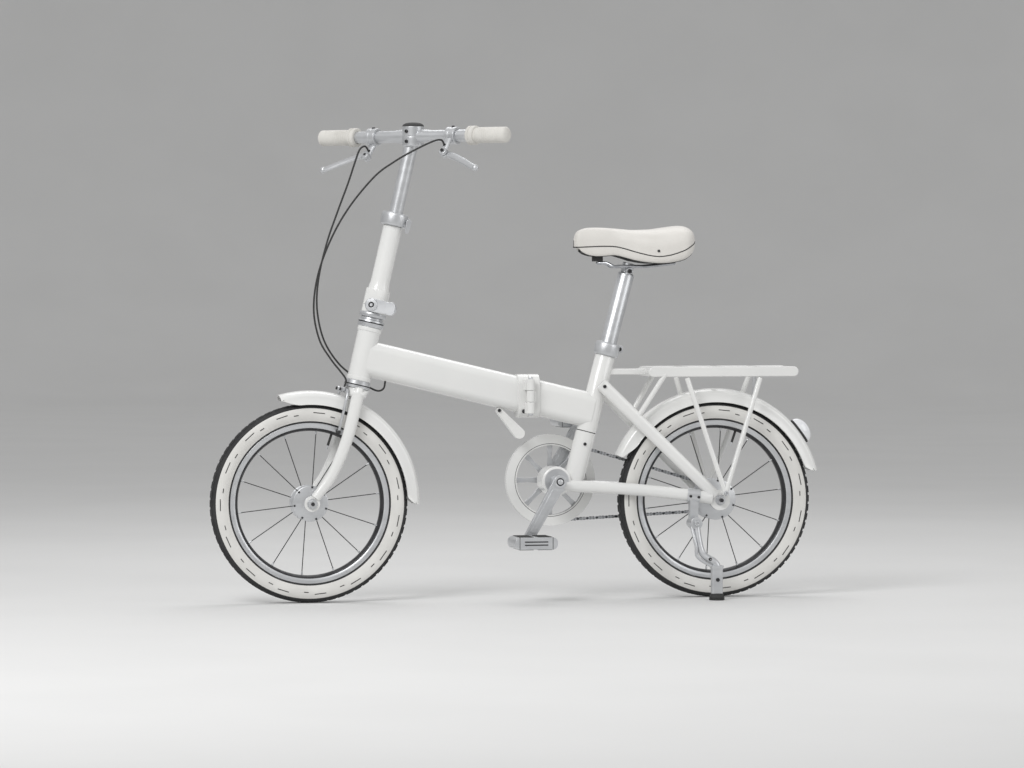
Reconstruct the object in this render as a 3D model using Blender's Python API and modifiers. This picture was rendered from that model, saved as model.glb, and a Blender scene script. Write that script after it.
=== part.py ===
"""Folding bicycle: a 20 inch city bike with a hinged main tube and a folding handlepost.

Metres, +Z up, ground at Z = 0. The bicycle faces -X and its left side faces -Y.
Each piece is one object. Pieces that move together hang from an empty on their joint's axis.
"""
import math

import bmesh
import bpy
from mathutils import Matrix, Vector

# Clearances
FIT = 0.0003
RUNNING = 0.0006

# Wheels
WHEEL_RADIUS = 0.254
WHEELBASE = 1.066
MIDDLE_X = -0.0125
TYRE_HEIGHT = 0.048
TYRE_WIDTH = 0.050
TREAD_WIDTH = 0.030
WHEEL_STEPS = 32
RIM_HEIGHT = 0.021
RIM_WIDTH = 0.032
RIM_WALL = 0.004
SPOKES = 14
SPOKE_RADIUS = 0.0013
FRONT_FLANGE_RADIUS = 0.046
REAR_FLANGE_RADIUS = 0.053
FLANGE_THICKNESS = 0.004
FLANGE_SPACING = 0.052
HUB_RADIUS = 0.017
HUB_LENGTH = 0.070
AXLE_RADIUS = 0.005
AXLE_NUT_RADIUS = 0.012
AXLE_NUT_WIDTH = 0.009
FRONT_AXLE_LENGTH = 0.132
REAR_AXLE_LENGTH = 0.184

# Steering head; stations run up the steering axis from the point nearest the front axle
HEAD_ANGLE = math.radians(13.0)
FORK_RAKE = 0.054
HEAD_TUBE_BOTTOM = 0.334
HEAD_TUBE_LENGTH = 0.138
HEAD_TUBE_RADIUS = 0.029
CUP_RADIUS = 0.034
LOWER_CUP_HEIGHT = 0.021
UPPER_CUP_HEIGHT = 0.026
STEERER_RADIUS = 0.0145
CROWN_HEIGHT = 0.020
CROWN_DEPTH = 0.044
BLADE_RADIUS = 0.0115
BLADE_SPACING = 0.094
FORK_TIP_SPACING = 0.100
FORK_TIP_THICKNESS = 0.008
FORK_TIP_RADIUS = 0.020

# Handlepost and its hinge
POST_HINGE_BASE_HEIGHT = 0.030
POST_HINGE_TOP_HEIGHT = 0.042
POST_HINGE_DEPTH = 0.056
POST_HINGE_WIDTH = 0.058
POST_HINGE_TURN = math.radians(24.0)
POST_PIN_OFFSET = 0.039
KNUCKLE_RADIUS = 0.009
PIN_RADIUS = 0.0035
LOWER_POST_LENGTH = 0.168
LOWER_POST_RADIUS = 0.0245
UPPER_POST_RADIUS = 0.018
UPPER_POST_INSERTION = 0.080
POST_COLLAR_HEIGHT = 0.034
POST_COLLAR_RADIUS = 0.033
HANDLEBAR_STATION = 0.974

# Handlebar
BAR_TURN = math.radians(42.0)
BAR_RADIUS = 0.0155
BAR_HALF_LENGTH = 0.298
BAR_HEAD_RADIUS = 0.028
BAR_HEAD_LENGTH = 0.052
GRIP_LENGTH = 0.118
GRIP_RADIUS = 0.0205
GRIP_COLLAR_RADIUS = 0.0245
GRIP_COLLAR_LENGTH = 0.022
CAP_HEIGHT = 0.010
LEVER_CLAMP_FROM_CENTRE = 0.128
LEVER_CLAMP_WIDTH = 0.030
LEVER_CLAMP_RADIUS = 0.0225
LEVER_PIVOT_FORWARD = 0.035
LEVER_PIVOT_DROP = 0.047
LEVER_REACH = 0.116
LEVER_SPLAY = 0.046
LEVER_THICKNESS = 0.016
LEVER_DEPTH = 0.010
LEVER_BOSS_RADIUS = 0.011
POST_LATCH_LENGTH = 0.050
POST_LATCH_BOSS_RADIUS = 0.015
POST_LATCH_END_RADIUS = 0.012

# Main tube and its hinge
MAIN_TUBE_SLOPE = math.radians(13.4)
MAIN_TUBE_HEIGHT = 0.092
MAIN_TUBE_WIDTH = 0.056
MAIN_TUBE_CORNER = 0.024
MAIN_TUBE_HEAD_STATION = 0.395
FRAME_HINGE_X = 0.036
FRAME_PIN_OFFSET = 0.050
HINGE_PLATE_THICKNESS = 0.028
HINGE_PLATE_HEIGHT = 0.112
HINGE_PLATE_WIDTH = 0.068
FRAME_KNUCKLE_RADIUS = 0.010
FRAME_LATCH_LENGTH = 0.088
FRAME_LATCH_WIDTH = 0.024
FRAME_LATCH_THICKNESS = 0.014
FRAME_LATCH_ANGLE = math.radians(48.0)
FRAME_LATCH_SETBACK = 0.062

# Seat tube, seatpost and saddle; stations run up the seat axis from its foot
SEAT_LEAN = math.radians(14.7)
SEAT_FOOT_X = 0.153
SEAT_FOOT_Z = 0.280
SEAT_TUBE_LENGTH = 0.359
SEAT_TUBE_RADIUS = 0.026
SEATPOST_RADIUS = 0.0215
SEATPOST_INSERTION = 0.130
SEATPOST_EXPOSED = 0.222
SEAT_CLAMP_HEIGHT = 0.034
SEAT_CLAMP_RADIUS = 0.031
NECK_RADIUS = 0.016
SADDLE_NOSE_AHEAD = 0.1404
SADDLE_LENGTH = 0.315
SADDLE_WIDTH = 0.172
SADDLE_CROWN = 0.065
SADDLE_RISE = 0.055
SADDLE_BASE_DEPTH = 0.026
RAIL_RADIUS = 0.0042
RAIL_SPACING = 0.044

# Drive
BRACKET_X = 0.108
BRACKET_Z = 0.305
BRACKET_SHELL_RADIUS = 0.038
BRACKET_SHELL_LENGTH = 0.072
SPINDLE_RADIUS = 0.0105
CHAIN_LINE = 0.045
CHAIN_PITCH = 0.0127
CHAIN_HEIGHT = 0.009
CHAIN_WIDTH = 0.007
CHAIN_WALL = 0.0018
CHAINRING_TEETH = 52
SPROCKET_TEETH = 16
TOOTH_PLATE_THICKNESS = 0.0024
CHAINRING_INNER_RADIUS = 0.090
CHAINRING_STEPS = 36
CHAINGUARD_RADIUS = 0.119
CHAINGUARD_THICKNESS = 0.003
SPIDER_ARMS = 8
SPIDER_ARM_WIDTH = 0.012
CRANK_LENGTH = 0.1735
CRANK_ANGLE = math.radians(240.4)
CRANK_INNER_FACE = 0.062
CRANK_THICKNESS = 0.016
CRANK_WIDTH = 0.026
CRANK_END_RADIUS = 0.017
PEDAL_GAP = 0.012
PEDAL_LENGTH = 0.095
PEDAL_WIDTH = 0.112
PEDAL_HEIGHT = 0.034
PEDAL_SPINDLE_RADIUS = 0.006

# Rear triangle
CHAINSTAY_RADIUS = 0.0115
SEATSTAY_HALF_THICKNESS = 0.0095
SEATSTAY_HALF_DEPTH = 0.017
SEATSTAY_TOP_STATION = 0.285
SEATSTAY_TOP_Y = 0.035
DROPOUT_Y = 0.068
DROPOUT_RADIUS = 0.027
DROPOUT_THICKNESS = 0.008

# Mudguards, rack, light and stand
MUDGUARD_RADIUS = 0.288
MUDGUARD_WIDTH = 0.058
MUDGUARD_DEPTH = 0.036
MUDGUARD_WALL = 0.0016
FRONT_GUARD_AHEAD = math.radians(16.0)
FRONT_GUARD_BEHIND = math.radians(91.0)
REAR_GUARD_AHEAD = math.radians(66.0)
REAR_GUARD_BEHIND = math.radians(75.0)
RACK_FRONT_AHEAD = 0.188
RACK_LENGTH = 0.400
RACK_WIDTH = 0.130
RACK_BAR = 0.010
RACK_HEIGHT = 0.026
RACK_TOP_Z = 0.599
RACK_CROSSBARS = 5
RACK_LEG_RADIUS = 0.0066
RACK_LEG_EYE_RADIUS = 0.0085
TAIL_LIGHT_ANGLE = math.radians(53.0)
TAIL_LIGHT_RADIUS = 0.017
TAIL_LIGHT_HEIGHT = 0.027
TAIL_LIGHT_STRETCH = 2.1
STAND_PIVOT_AHEAD = 0.071
STAND_PIVOT_DROP = 0.058
STAND_Y = 0.095
STAND_FOOT_AHEAD = 0.024
STAND_FOOT_Y = 0.130
STAND_RADIUS = 0.0105
STAND_FOOT_RADIUS = 0.016
STAND_FOOT_HEIGHT = 0.016
STAND_SHOE_RADIUS = 0.020
STAND_KNEE_BACK = 0.012
STAND_KNEE_SHARE = 0.62
STAND_SLEEVE_SHARE = 0.45
STAND_SLEEVE_DEPTH = 0.030
STAND_SLEEVE_WIDTH = 0.020

# Brakes and cables
BRAKE_STUD_RADIUS = 0.004
BRAKE_STUD_LENGTH = 0.030
BRAKE_ARM_THICKNESS = 0.008
BRAKE_ARM_WIDTH = 0.012
BRAKE_ARM_SPREAD = 0.040
PAD_GAP = 0.003
PAD_LENGTH = 0.026
CABLE_RADIUS = 0.0024
CABLE_LEAD = 0.020
CABLE_STOP = 0.070

# Places worked out from the sizes above
UP = Vector((0.0, 0.0, 1.0))
ACROSS = Vector((0.0, 1.0, 0.0))
FRONT_AXLE = Vector((MIDDLE_X - WHEELBASE / 2, 0.0, WHEEL_RADIUS))
REAR_AXLE = Vector((MIDDLE_X + WHEELBASE / 2, 0.0, WHEEL_RADIUS))
STEER_UP = Vector((math.sin(HEAD_ANGLE), 0.0, math.cos(HEAD_ANGLE)))
STEER_AHEAD = Vector((-math.cos(HEAD_ANGLE), 0.0, math.sin(HEAD_ANGLE)))
STEER_FOOT = FRONT_AXLE - FORK_RAKE * STEER_AHEAD
SEAT_UP = Vector((math.sin(SEAT_LEAN), 0.0, math.cos(SEAT_LEAN)))
SEAT_FOOT = Vector((SEAT_FOOT_X + MIDDLE_X, 0.0, SEAT_FOOT_Z))
BRACKET = Vector((BRACKET_X + MIDDLE_X, 0.0, BRACKET_Z))
RIM_RADIUS = WHEEL_RADIUS - TYRE_HEIGHT - FIT
RIM_INNER_RADIUS = RIM_RADIUS - RIM_HEIGHT
CHAINRING_RADIUS = CHAIN_PITCH / (2 * math.sin(math.pi / CHAINRING_TEETH))
SPROCKET_RADIUS = CHAIN_PITCH / (2 * math.sin(math.pi / SPROCKET_TEETH))

PARTS = bpy.data.collections.new("folding_bicycle")
CUTTERS = bpy.data.collections.new("cutters")


def steering(station, ahead=0.0, across=0.0):
    """Point at a station of the steering axis, moved ahead of it and across it."""
    return STEER_FOOT + station * STEER_UP + ahead * STEER_AHEAD + across * ACROSS


def seating(station, across=0.0):
    """Point at a station of the seat axis."""
    return SEAT_FOOT + station * SEAT_UP + across * ACROSS


def frame_at(origin, direction, side=ACROSS):
    """Matrix with local Z along direction, local Y near side and its origin at a point."""
    z_axis = direction.normalized()
    if abs(z_axis.dot(side)) > 0.99:
        side = Vector((1.0, 0.0, 0.0))
    x_axis = side.cross(z_axis).normalized()
    matrix = Matrix((x_axis, z_axis.cross(x_axis), z_axis)).transposed().to_4x4()
    matrix.translation = origin
    return matrix


def mesh_object(mesh, matrix):
    """Object for a mesh, kept with the cutters until it is named as a part."""
    obj = bpy.data.objects.new(mesh.name, mesh)
    obj.matrix_world = matrix
    CUTTERS.objects.link(obj)
    return obj


def from_bmesh(shape, matrix):
    """Object from an edited mesh."""
    mesh = bpy.data.meshes.new("shape")
    shape.to_mesh(mesh)
    shape.free()
    return mesh_object(mesh, matrix)


def rod(start, end, radius, end_radius=None, sides=12):
    """Round bar, or a cone where the two radii differ."""
    shape = bmesh.new()
    end_radius = radius if end_radius is None else end_radius
    bmesh.ops.create_cone(shape, cap_ends=True, segments=sides, radius1=radius,
                          radius2=end_radius, depth=(end - start).length)
    return from_bmesh(shape, frame_at((start + end) / 2, end - start))


def oval_rod(start, end, half_thickness, half_depth, sides=16):
    """Straight bar of oval section, thin across the bicycle."""
    obj = rod(start, end, 1.0, sides=sides)
    for vertex in obj.data.vertices:
        vertex.co.x *= half_depth
        vertex.co.y *= half_thickness
    return obj


def box(size, matrix, rounding=0.0):
    """Block centred on a matrix, with rounded edges where asked."""
    shape = bmesh.new()
    bmesh.ops.create_cube(shape, size=1.0)
    bmesh.ops.scale(shape, vec=Vector(size), verts=shape.verts)
    obj = from_bmesh(shape, matrix)
    if rounding:
        bevel = obj.modifiers.new("rounding", "BEVEL")
        bevel.width = rounding
        bevel.segments = 1
    return obj


def curve_object(points, matrix, dimensions="3D", cyclic=False):
    """Curve through one or more lists of points, with straight runs between them."""
    curve = bpy.data.curves.new("curve", "CURVE")
    curve.dimensions = dimensions
    for run in points:
        spline = curve.splines.new("POLY")
        spline.points.add(len(run) - 1)
        spline.use_cyclic_u = cyclic
        for point, place in zip(spline.points, run):
            point.co = (*place, 0.0, 1.0) if len(place) == 2 else (*place, 1.0)
    obj = bpy.data.objects.new("curve", curve)
    obj.matrix_world = matrix
    CUTTERS.objects.link(obj)
    return obj


def as_mesh(curve_obj):
    """Mesh object in place of a curve, its caps welded on."""
    bpy.context.view_layer.update()
    evaluated = curve_obj.evaluated_get(bpy.context.evaluated_depsgraph_get())
    mesh = bpy.data.meshes.new_from_object(evaluated)
    shape = bmesh.new()
    shape.from_mesh(mesh)
    bmesh.ops.remove_doubles(shape, verts=shape.verts, dist=1e-6)
    shape.to_mesh(mesh)
    shape.free()
    obj = mesh_object(mesh, curve_obj.matrix_world.copy())
    bpy.data.objects.remove(curve_obj)
    return obj


def bent_tube(points, radius, resolution=2):
    """Tube along a run of points."""
    obj = curve_object([points], Matrix())
    obj.data.bevel_depth = radius
    obj.data.bevel_resolution = resolution
    obj.data.use_fill_caps = True
    return as_mesh(obj)


def plate(outlines, thickness, matrix):
    """Flat plate centred on a matrix, its first outline the edge and any others holes."""
    obj = curve_object(outlines, matrix, "2D", cyclic=True)
    obj.data.fill_mode = "BOTH"
    obj.data.extrude = thickness / 2
    return as_mesh(obj)


def turned(profile, matrix, steps=32, closed=False, angle=math.tau):
    """Shape turned about the matrix's local Z from (radius, height) points."""
    mesh = bpy.data.meshes.new("turned")
    count = len(profile)
    edges = [(i, (i + 1) % count) for i in range(count if closed else count - 1)]
    mesh.from_pydata([(radius, 0.0, height) for radius, height in profile], edges, [])
    obj = mesh_object(mesh, matrix)
    screw = obj.modifiers.new("turn", "SCREW")
    screw.angle = angle
    screw.steps = steps
    screw.render_steps = steps
    screw.use_merge_vertices = angle == math.tau
    screw.merge_threshold = 1e-5
    screw.use_smooth_shade = True
    return obj


def ring(inner, outer, bottom, top, matrix, steps=20):
    """Plain tube or washer about the matrix's local Z."""
    return turned([(outer, top), (outer, bottom), (inner, bottom), (inner, top)], matrix, steps, True)


def boolean(target, tool, operation, solver="EXACT"):
    """Join a tool to the target, or cut it out, and keep it as a hidden cutter."""
    modifier = target.modifiers.new(operation.lower(), "BOOLEAN")
    modifier.operation = operation
    modifier.object = tool
    modifier.solver = solver
    tool.hide_render = True
    tool.display_type = "WIRE"


def fuse(target, *tools):
    """Join solids to the target."""
    for tool in tools:
        boolean(target, tool, "UNION")
    return target


def cut(target, *tools):
    """Cut solids out of the target."""
    for tool in tools:
        boolean(target, tool, "DIFFERENCE")
    return target


def beyond(point, normal):
    """Large block that fills the side of a plane that its normal points to."""
    size = WHEELBASE
    return box((size, size, size), frame_at(point + normal.normalized() * size / 2, normal))


def rounded_rectangle(width, height, corner, corner_points=5):
    """Outline of a rectangle with round corners, centred on its origin."""
    outline = []
    for quarter, (sign_x, sign_y) in enumerate(((1, 1), (-1, 1), (-1, -1), (1, -1))):
        centre = Vector((sign_x * (width / 2 - corner), sign_y * (height / 2 - corner)))
        for step in range(corner_points):
            angle = (quarter + step / (corner_points - 1)) * math.pi / 2
            outline.append(centre + corner * Vector((math.cos(angle), math.sin(angle))))
    return outline


def smooth_run(points, count):
    """Points at even steps of a smooth curve through a few points."""
    places = [Vector(point) for point in points]
    places = [2 * places[0] - places[1], *places, 2 * places[-1] - places[-2]]
    spans = len(places) - 3
    run = []
    for step in range(count):
        along = step / (count - 1) * spans
        span = min(int(along), spans - 1)
        t = along - span
        before, start, end, after = places[span:span + 4]
        run.append(0.5 * (2 * start + (end - before) * t
                          + (2 * before - 5 * start + 4 * end - after) * t ** 2
                          + (3 * start - before - 3 * end + after) * t ** 3))
    return run


def loft(sections):
    """Closed body through rings of points that all have the same count."""
    shape = bmesh.new()
    rings = [[shape.verts.new(point) for point in section] for section in sections]
    for near, far in zip(rings, rings[1:]):
        for i, vertex in enumerate(near):
            j = (i + 1) % len(near)
            shape.faces.new((vertex, near[j], far[j], far[i]))
    shape.faces.new(reversed(rings[0]))
    shape.faces.new(rings[-1])
    bmesh.ops.recalc_face_normals(shape, faces=shape.faces)
    return from_bmesh(shape, Matrix())


def joint(name, place, parent=None):
    """Empty on a joint's axis that carries the pieces moving on it."""
    empty = bpy.data.objects.new(name, None)
    empty.empty_display_size = 0.05
    PARTS.objects.link(empty)
    attach(empty, parent)
    empty.matrix_world = Matrix.Translation(place)
    return empty


def attach(obj, parent):
    """Hang an object from an empty without moving it."""
    bpy.context.view_layer.update()
    if parent:
        matrix = obj.matrix_world.copy()
        obj.parent = parent
        obj.matrix_parent_inverse = parent.matrix_world.inverted()
        obj.matrix_world = matrix


def part(obj, name, finish, parent):
    """Name a finished piece, give it its own material and hang it from its joint."""
    obj.name = name
    obj.data.name = name
    colour, roughness, metallic = finish
    material = bpy.data.materials.new(name + "_finish")
    material.use_nodes = True
    shader = material.node_tree.nodes["Principled BSDF"]
    shader.inputs["Base Color"].default_value = (*colour, 1.0)
    shader.inputs["Roughness"].default_value = roughness
    shader.inputs["Metallic"].default_value = metallic
    obj.data.materials.clear()
    obj.data.materials.append(material)
    if obj.type == "MESH" and obj.data.polygons:
        obj.data.shade_smooth()
        obj.data.set_sharp_from_angle(angle=math.radians(40.0))
    CUTTERS.objects.unlink(obj)
    PARTS.objects.link(obj)
    attach(obj, parent)
    return obj


# Finishes: colour, roughness, metallic
WHITE_PAINT = ((0.86, 0.86, 0.84), 0.25, 0.0)
SILVER = ((0.72, 0.73, 0.74), 0.30, 0.9)
STEEL = ((0.50, 0.51, 0.53), 0.35, 0.9)
BLACK_RUBBER = ((0.03, 0.03, 0.03), 0.80, 0.0)
BLACK_PLASTIC = ((0.04, 0.04, 0.04), 0.50, 0.0)
PALE_RUBBER = ((0.74, 0.73, 0.70), 0.70, 0.0)
PALE_VINYL = ((0.82, 0.81, 0.78), 0.55, 0.0)
CLEAR_LENS = ((0.90, 0.90, 0.92), 0.12, 0.0)


def wheel(side, axle, flange_radius, parent):
    """Tyre, rim, and hub with its spokes, all turning on one axle."""
    place = frame_at(axle, ACROSS) @ Matrix.Rotation(math.pi / WHEEL_STEPS, 4, "Z")
    flat = math.cos(math.pi / WHEEL_STEPS)
    tread, half, bead = TREAD_WIDTH / 2, TYRE_WIDTH / 2, RIM_WIDTH / 2
    outer, inner = WHEEL_RADIUS / flat, WHEEL_RADIUS - TYRE_HEIGHT
    shoulder, widest = outer - 0.3 * TYRE_HEIGHT, outer - 0.58 * TYRE_HEIGHT
    tyre = turned([(outer, tread), (outer, -tread), (shoulder, -0.92 * half), (widest, -half),
                   (inner, -bead), (inner, bead), (widest, half), (shoulder, 0.92 * half)],
                  place, WHEEL_STEPS, True)
    part(tyre, side + "_tyre", BLACK_RUBBER, parent)
    wall = RIM_INNER_RADIUS + RIM_WALL
    rim = turned([(RIM_RADIUS, bead), (RIM_RADIUS, -bead), (wall, -bead), (RIM_INNER_RADIUS, -bead / 2),
                  (RIM_INNER_RADIUS, bead / 2), (wall, bead)], place, WHEEL_STEPS, True)
    part(rim, side + "_rim", SILVER, parent)

    end, flange, edge = HUB_LENGTH / 2, FLANGE_SPACING / 2, FLANGE_THICKNESS / 2
    bore, boss = AXLE_RADIUS + RUNNING, AXLE_NUT_RADIUS
    half_profile = [(boss, end), (boss, flange + edge), (flange_radius, flange + edge),
                    (flange_radius, flange - edge), (HUB_RADIUS, flange - edge)]
    profile = half_profile + [(radius, -height) for radius, height in reversed(half_profile)]
    hub = turned(profile + [(bore, -end), (bore, end)], place, 20, True)
    spokes = bmesh.new()
    for spoke in range(SPOKES):
        lean = 1 if spoke % 2 else -1
        turn = Matrix.Rotation(spoke / SPOKES * math.tau, 3, "Z")
        start = turn @ Vector((flange_radius - 2 * edge, 0.0, lean * flange))
        finish = turn @ Vector((RIM_INNER_RADIUS * flat - 2 * FIT, 0.0, lean * bead / 4))
        bmesh.ops.create_cone(spokes, cap_ends=True, segments=4, radius1=SPOKE_RADIUS,
                              radius2=SPOKE_RADIUS, depth=(finish - start).length,
                              matrix=frame_at((start + finish) / 2, finish - start))
    part(fuse(hub, from_bmesh(spokes, place)), side + "_hub", STEEL, parent)


def axle(name, centre, length, nut_inner_face, parent):
    """Axle with a nut at each end."""
    half = length / 2 * ACROSS
    bar = rod(centre - half, centre + half, AXLE_RADIUS)
    for way in (-1, 1):
        face = centre + way * nut_inner_face * ACROSS
        fuse(bar, rod(face, face + way * AXLE_NUT_WIDTH * ACROSS, AXLE_NUT_RADIUS, sides=6))
    part(bar, name, SILVER, parent)


def axle_hole(centre, length):
    """Cutter for the axle's holes in both dropouts."""
    half = length / 2 * ACROSS
    return rod(centre - half, centre + half, AXLE_RADIUS + FIT)


def link_outline(length, start_radius, end_radius, arc_points=7):
    """Outline of a flat arm along +X with a round end about each of its centres."""
    lean = math.asin((start_radius - end_radius) / length)
    outline = []
    for centre, radius, first in ((length, end_radius, -math.pi / 2), (0.0, start_radius, math.pi / 2)):
        for step in range(arc_points):
            swing = math.pi + (2 * lean if centre == 0.0 else -2 * lean)
            angle = first + (lean if centre else -lean) + swing * step / (arc_points - 1)
            outline.append((centre + radius * math.cos(angle), radius * math.sin(angle)))
    return outline


def in_plane(origin, along, normal):
    """Matrix with local X along a direction and local Z along the normal of its plane."""
    z_axis = normal.normalized()
    y_axis = z_axis.cross(along).normalized()
    matrix = Matrix((y_axis.cross(z_axis), y_axis, z_axis)).transposed().to_4x4()
    matrix.translation = origin
    return matrix


MAIN_AXIS = Vector((math.cos(MAIN_TUBE_SLOPE), 0.0, -math.sin(MAIN_TUBE_SLOPE)))
MAIN_UP = Vector((math.sin(MAIN_TUBE_SLOPE), 0.0, math.cos(MAIN_TUBE_SLOPE)))
MAIN_START = steering(MAIN_TUBE_HEAD_STATION)
HINGE_X = FRAME_HINGE_X + MIDDLE_X
HINGE_CENTRE = MAIN_START + MAIN_AXIS * (HINGE_X - MAIN_START.x) / MAIN_AXIS.x
HINGE_PIN = HINGE_CENTRE - FRAME_PIN_OFFSET * ACROSS
ALONG = Vector((1.0, 0.0, 0.0))


def main_tube(start, end):
    """Length of the main tube's rounded section between two points of its axis."""
    section = rounded_rectangle(MAIN_TUBE_HEIGHT, MAIN_TUBE_WIDTH, MAIN_TUBE_CORNER)
    return plate([section], (end - start).length, frame_at((start + end) / 2, MAIN_AXIS))


def head_clearance():
    """Cutter for what is welded against the head tube."""
    return rod(steering(0.0), steering(HANDLEBAR_STATION), HEAD_TUBE_RADIUS + FIT, sides=20)


def seat_clearance():
    """Cutter for what is welded against the seat tube."""
    start, end = seating(-SEAT_TUBE_LENGTH), seating(2 * SEAT_TUBE_LENGTH)
    return rod(start, end, SEAT_TUBE_RADIUS + FIT, sides=20)


def hinge_plate(way):
    """Half of the frame hinge, on the front (-1) or rear (1) side of its parting plane."""
    face = HINGE_CENTRE + way * FIT / 2 * ALONG
    middle = face + way * HINGE_PLATE_THICKNESS / 2 * ALONG
    outline = rounded_rectangle(HINGE_PLATE_HEIGHT, HINGE_PLATE_WIDTH, MAIN_TUBE_CORNER)
    return plate([outline], HINGE_PLATE_THICKNESS, frame_at(middle, ALONG))


def knuckle(pin, axis, low, high, radius, web_size, away, side):
    """Hinge knuckle on a pin between two heights, with the web that joins it to its plate."""
    barrel = rod(pin + low * axis, pin + high * axis, radius)
    reach, depth = web_size
    centre = pin + (low + high) / 2 * axis + (FIT + depth / 2) * away + reach / 2 * side
    web = box((depth, reach, high - low - 2 * FIT), frame_at(centre, axis, side))
    return barrel, web


def frame_hinge(front, rear):
    """Hinge plates of the main tube, the rear one with the hinge pin."""
    third = (HINGE_PLATE_HEIGHT - MAIN_TUBE_CORNER) / 3
    front_plate, rear_plate = hinge_plate(-1), hinge_plate(1)
    web = (FRAME_PIN_OFFSET - HINGE_PLATE_WIDTH / 2 + MAIN_TUBE_CORNER / 3, HINGE_PLATE_THICKNESS / 2)
    for way in (-1, 1):
        low, high = sorted((way * (third / 2 + RUNNING), way * third * 1.5))
        fuse(front_plate, *knuckle(HINGE_PIN, UP, low, high, FRAME_KNUCKLE_RADIUS, web, -ALONG, ACROSS))
    middle_knuckle = knuckle(HINGE_PIN, UP, -third / 2, third / 2, FRAME_KNUCKLE_RADIUS, web, ALONG, ACROSS)
    fuse(rear_plate, *middle_knuckle)
    pin_end = third * 1.5 * UP
    fuse(rear_plate, rod(HINGE_PIN - pin_end, HINGE_PIN + pin_end, PIN_RADIUS))
    reach = 2 * pin_end
    cut(front_plate, rod(HINGE_PIN - reach, HINGE_PIN + reach, PIN_RADIUS + FIT))
    part(front_plate, "front_hinge_plate", WHITE_PAINT, front)
    part(rear_plate, "rear_hinge_plate", WHITE_PAINT, rear)


def front_frame(parent):
    """Head tube with its cups, and the front half of the main tube."""
    top = HEAD_TUBE_BOTTOM + HEAD_TUBE_LENGTH
    axis = frame_at(steering(0.0), STEER_UP)
    bore = STEERER_RADIUS + RUNNING
    part(ring(bore + 4 * RUNNING, HEAD_TUBE_RADIUS, HEAD_TUBE_BOTTOM, top, axis), "head_tube",
         WHITE_PAINT, parent)
    lower = HEAD_TUBE_BOTTOM - FIT
    part(ring(bore, CUP_RADIUS, lower - LOWER_CUP_HEIGHT, lower, axis), "lower_headset_cup", SILVER, parent)
    upper = top + FIT
    part(ring(bore, CUP_RADIUS, upper, upper + UPPER_CUP_HEIGHT, axis), "upper_headset_cup", SILVER, parent)
    tube = main_tube(MAIN_START, HINGE_CENTRE)
    plate_face = HINGE_CENTRE - (FIT / 2 + HINGE_PLATE_THICKNESS + FIT) * ALONG
    cut(tube, head_clearance(), beyond(plate_face, ALONG))
    part(tube, "front_main_tube", WHITE_PAINT, parent)


def rear_frame(parent):
    """Seat tube with the bottom bracket shell, rear main tube, stays and seat clamp."""
    seat_top = seating(SEAT_TUBE_LENGTH)
    tube = rod(seating(0.0), seat_top, SEAT_TUBE_RADIUS, sides=20)
    shell_end = BRACKET_SHELL_LENGTH / 2 * ACROSS
    fuse(tube, rod(BRACKET - shell_end, BRACKET + shell_end, BRACKET_SHELL_RADIUS, sides=20))
    bore = rod(seating(FIT), seating(2 * SEAT_TUBE_LENGTH), SEATPOST_RADIUS + FIT, sides=20)
    shell_bore = rod(BRACKET - 2 * shell_end, BRACKET + 2 * shell_end, SPINDLE_RADIUS + RUNNING)
    part(cut(tube, bore, shell_bore), "seat_tube", WHITE_PAINT, parent)

    seat_x = (SEAT_FOOT - MAIN_START).cross(SEAT_UP).y / MAIN_AXIS.cross(SEAT_UP).y
    rear_tube = main_tube(HINGE_CENTRE, MAIN_START + seat_x * MAIN_AXIS)
    plate_face = HINGE_CENTRE + (FIT / 2 + HINGE_PLATE_THICKNESS + FIT) * ALONG
    cut(rear_tube, seat_clearance(), beyond(plate_face, -ALONG))
    part(rear_tube, "rear_main_tube", WHITE_PAINT, parent)

    collar = ring(SEATPOST_RADIUS + FIT, SEAT_CLAMP_RADIUS, FIT, SEAT_CLAMP_HEIGHT,
                  frame_at(seat_top, SEAT_UP))
    ear = seating(SEAT_TUBE_LENGTH + SEAT_CLAMP_HEIGHT / 2) + SEAT_CLAMP_RADIUS * ALONG
    fuse(collar, rod(ear - SEAT_CLAMP_HEIGHT / 2 * ACROSS, ear + SEAT_CLAMP_HEIGHT / 2 * ACROSS,
                     SEAT_CLAMP_HEIGHT / 4))
    part(collar, "seat_clamp_collar", SILVER, parent)
    for name, way in (("left", -1), ("right", 1)):
        stays(name, way, parent)


def chainstay_run(way):
    """Points of a chainstay's centre line, from the bottom bracket to the dropout."""
    inner = CHAIN_LINE - CHAIN_WIDTH / 2 - CHAINSTAY_RADIUS - 4 * RUNNING
    outer = way * DROPOUT_Y
    beside_tyre = way * (TYRE_WIDTH / 2 + CHAINSTAY_RADIUS + 5 * RUNNING)
    level = BRACKET_Z - CHAINSTAY_RADIUS
    drop = level - WHEEL_RADIUS
    tyre_front = REAR_AXLE.x - 0.85 * WHEEL_RADIUS
    ring_back = BRACKET.x + CHAINGUARD_RADIUS
    return smooth_run([(BRACKET.x + CHAINSTAY_RADIUS, way * inner, level),
                       (ring_back, way * inner, level - 0.15 * drop),
                       (tyre_front, beside_tyre, level - 0.3 * drop),
                       (REAR_AXLE.x - 2.6 * DROPOUT_RADIUS, outer, level - 0.7 * drop),
                       (REAR_AXLE.x - 0.8 * DROPOUT_RADIUS, outer, level - 0.9 * drop)], 11)


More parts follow.
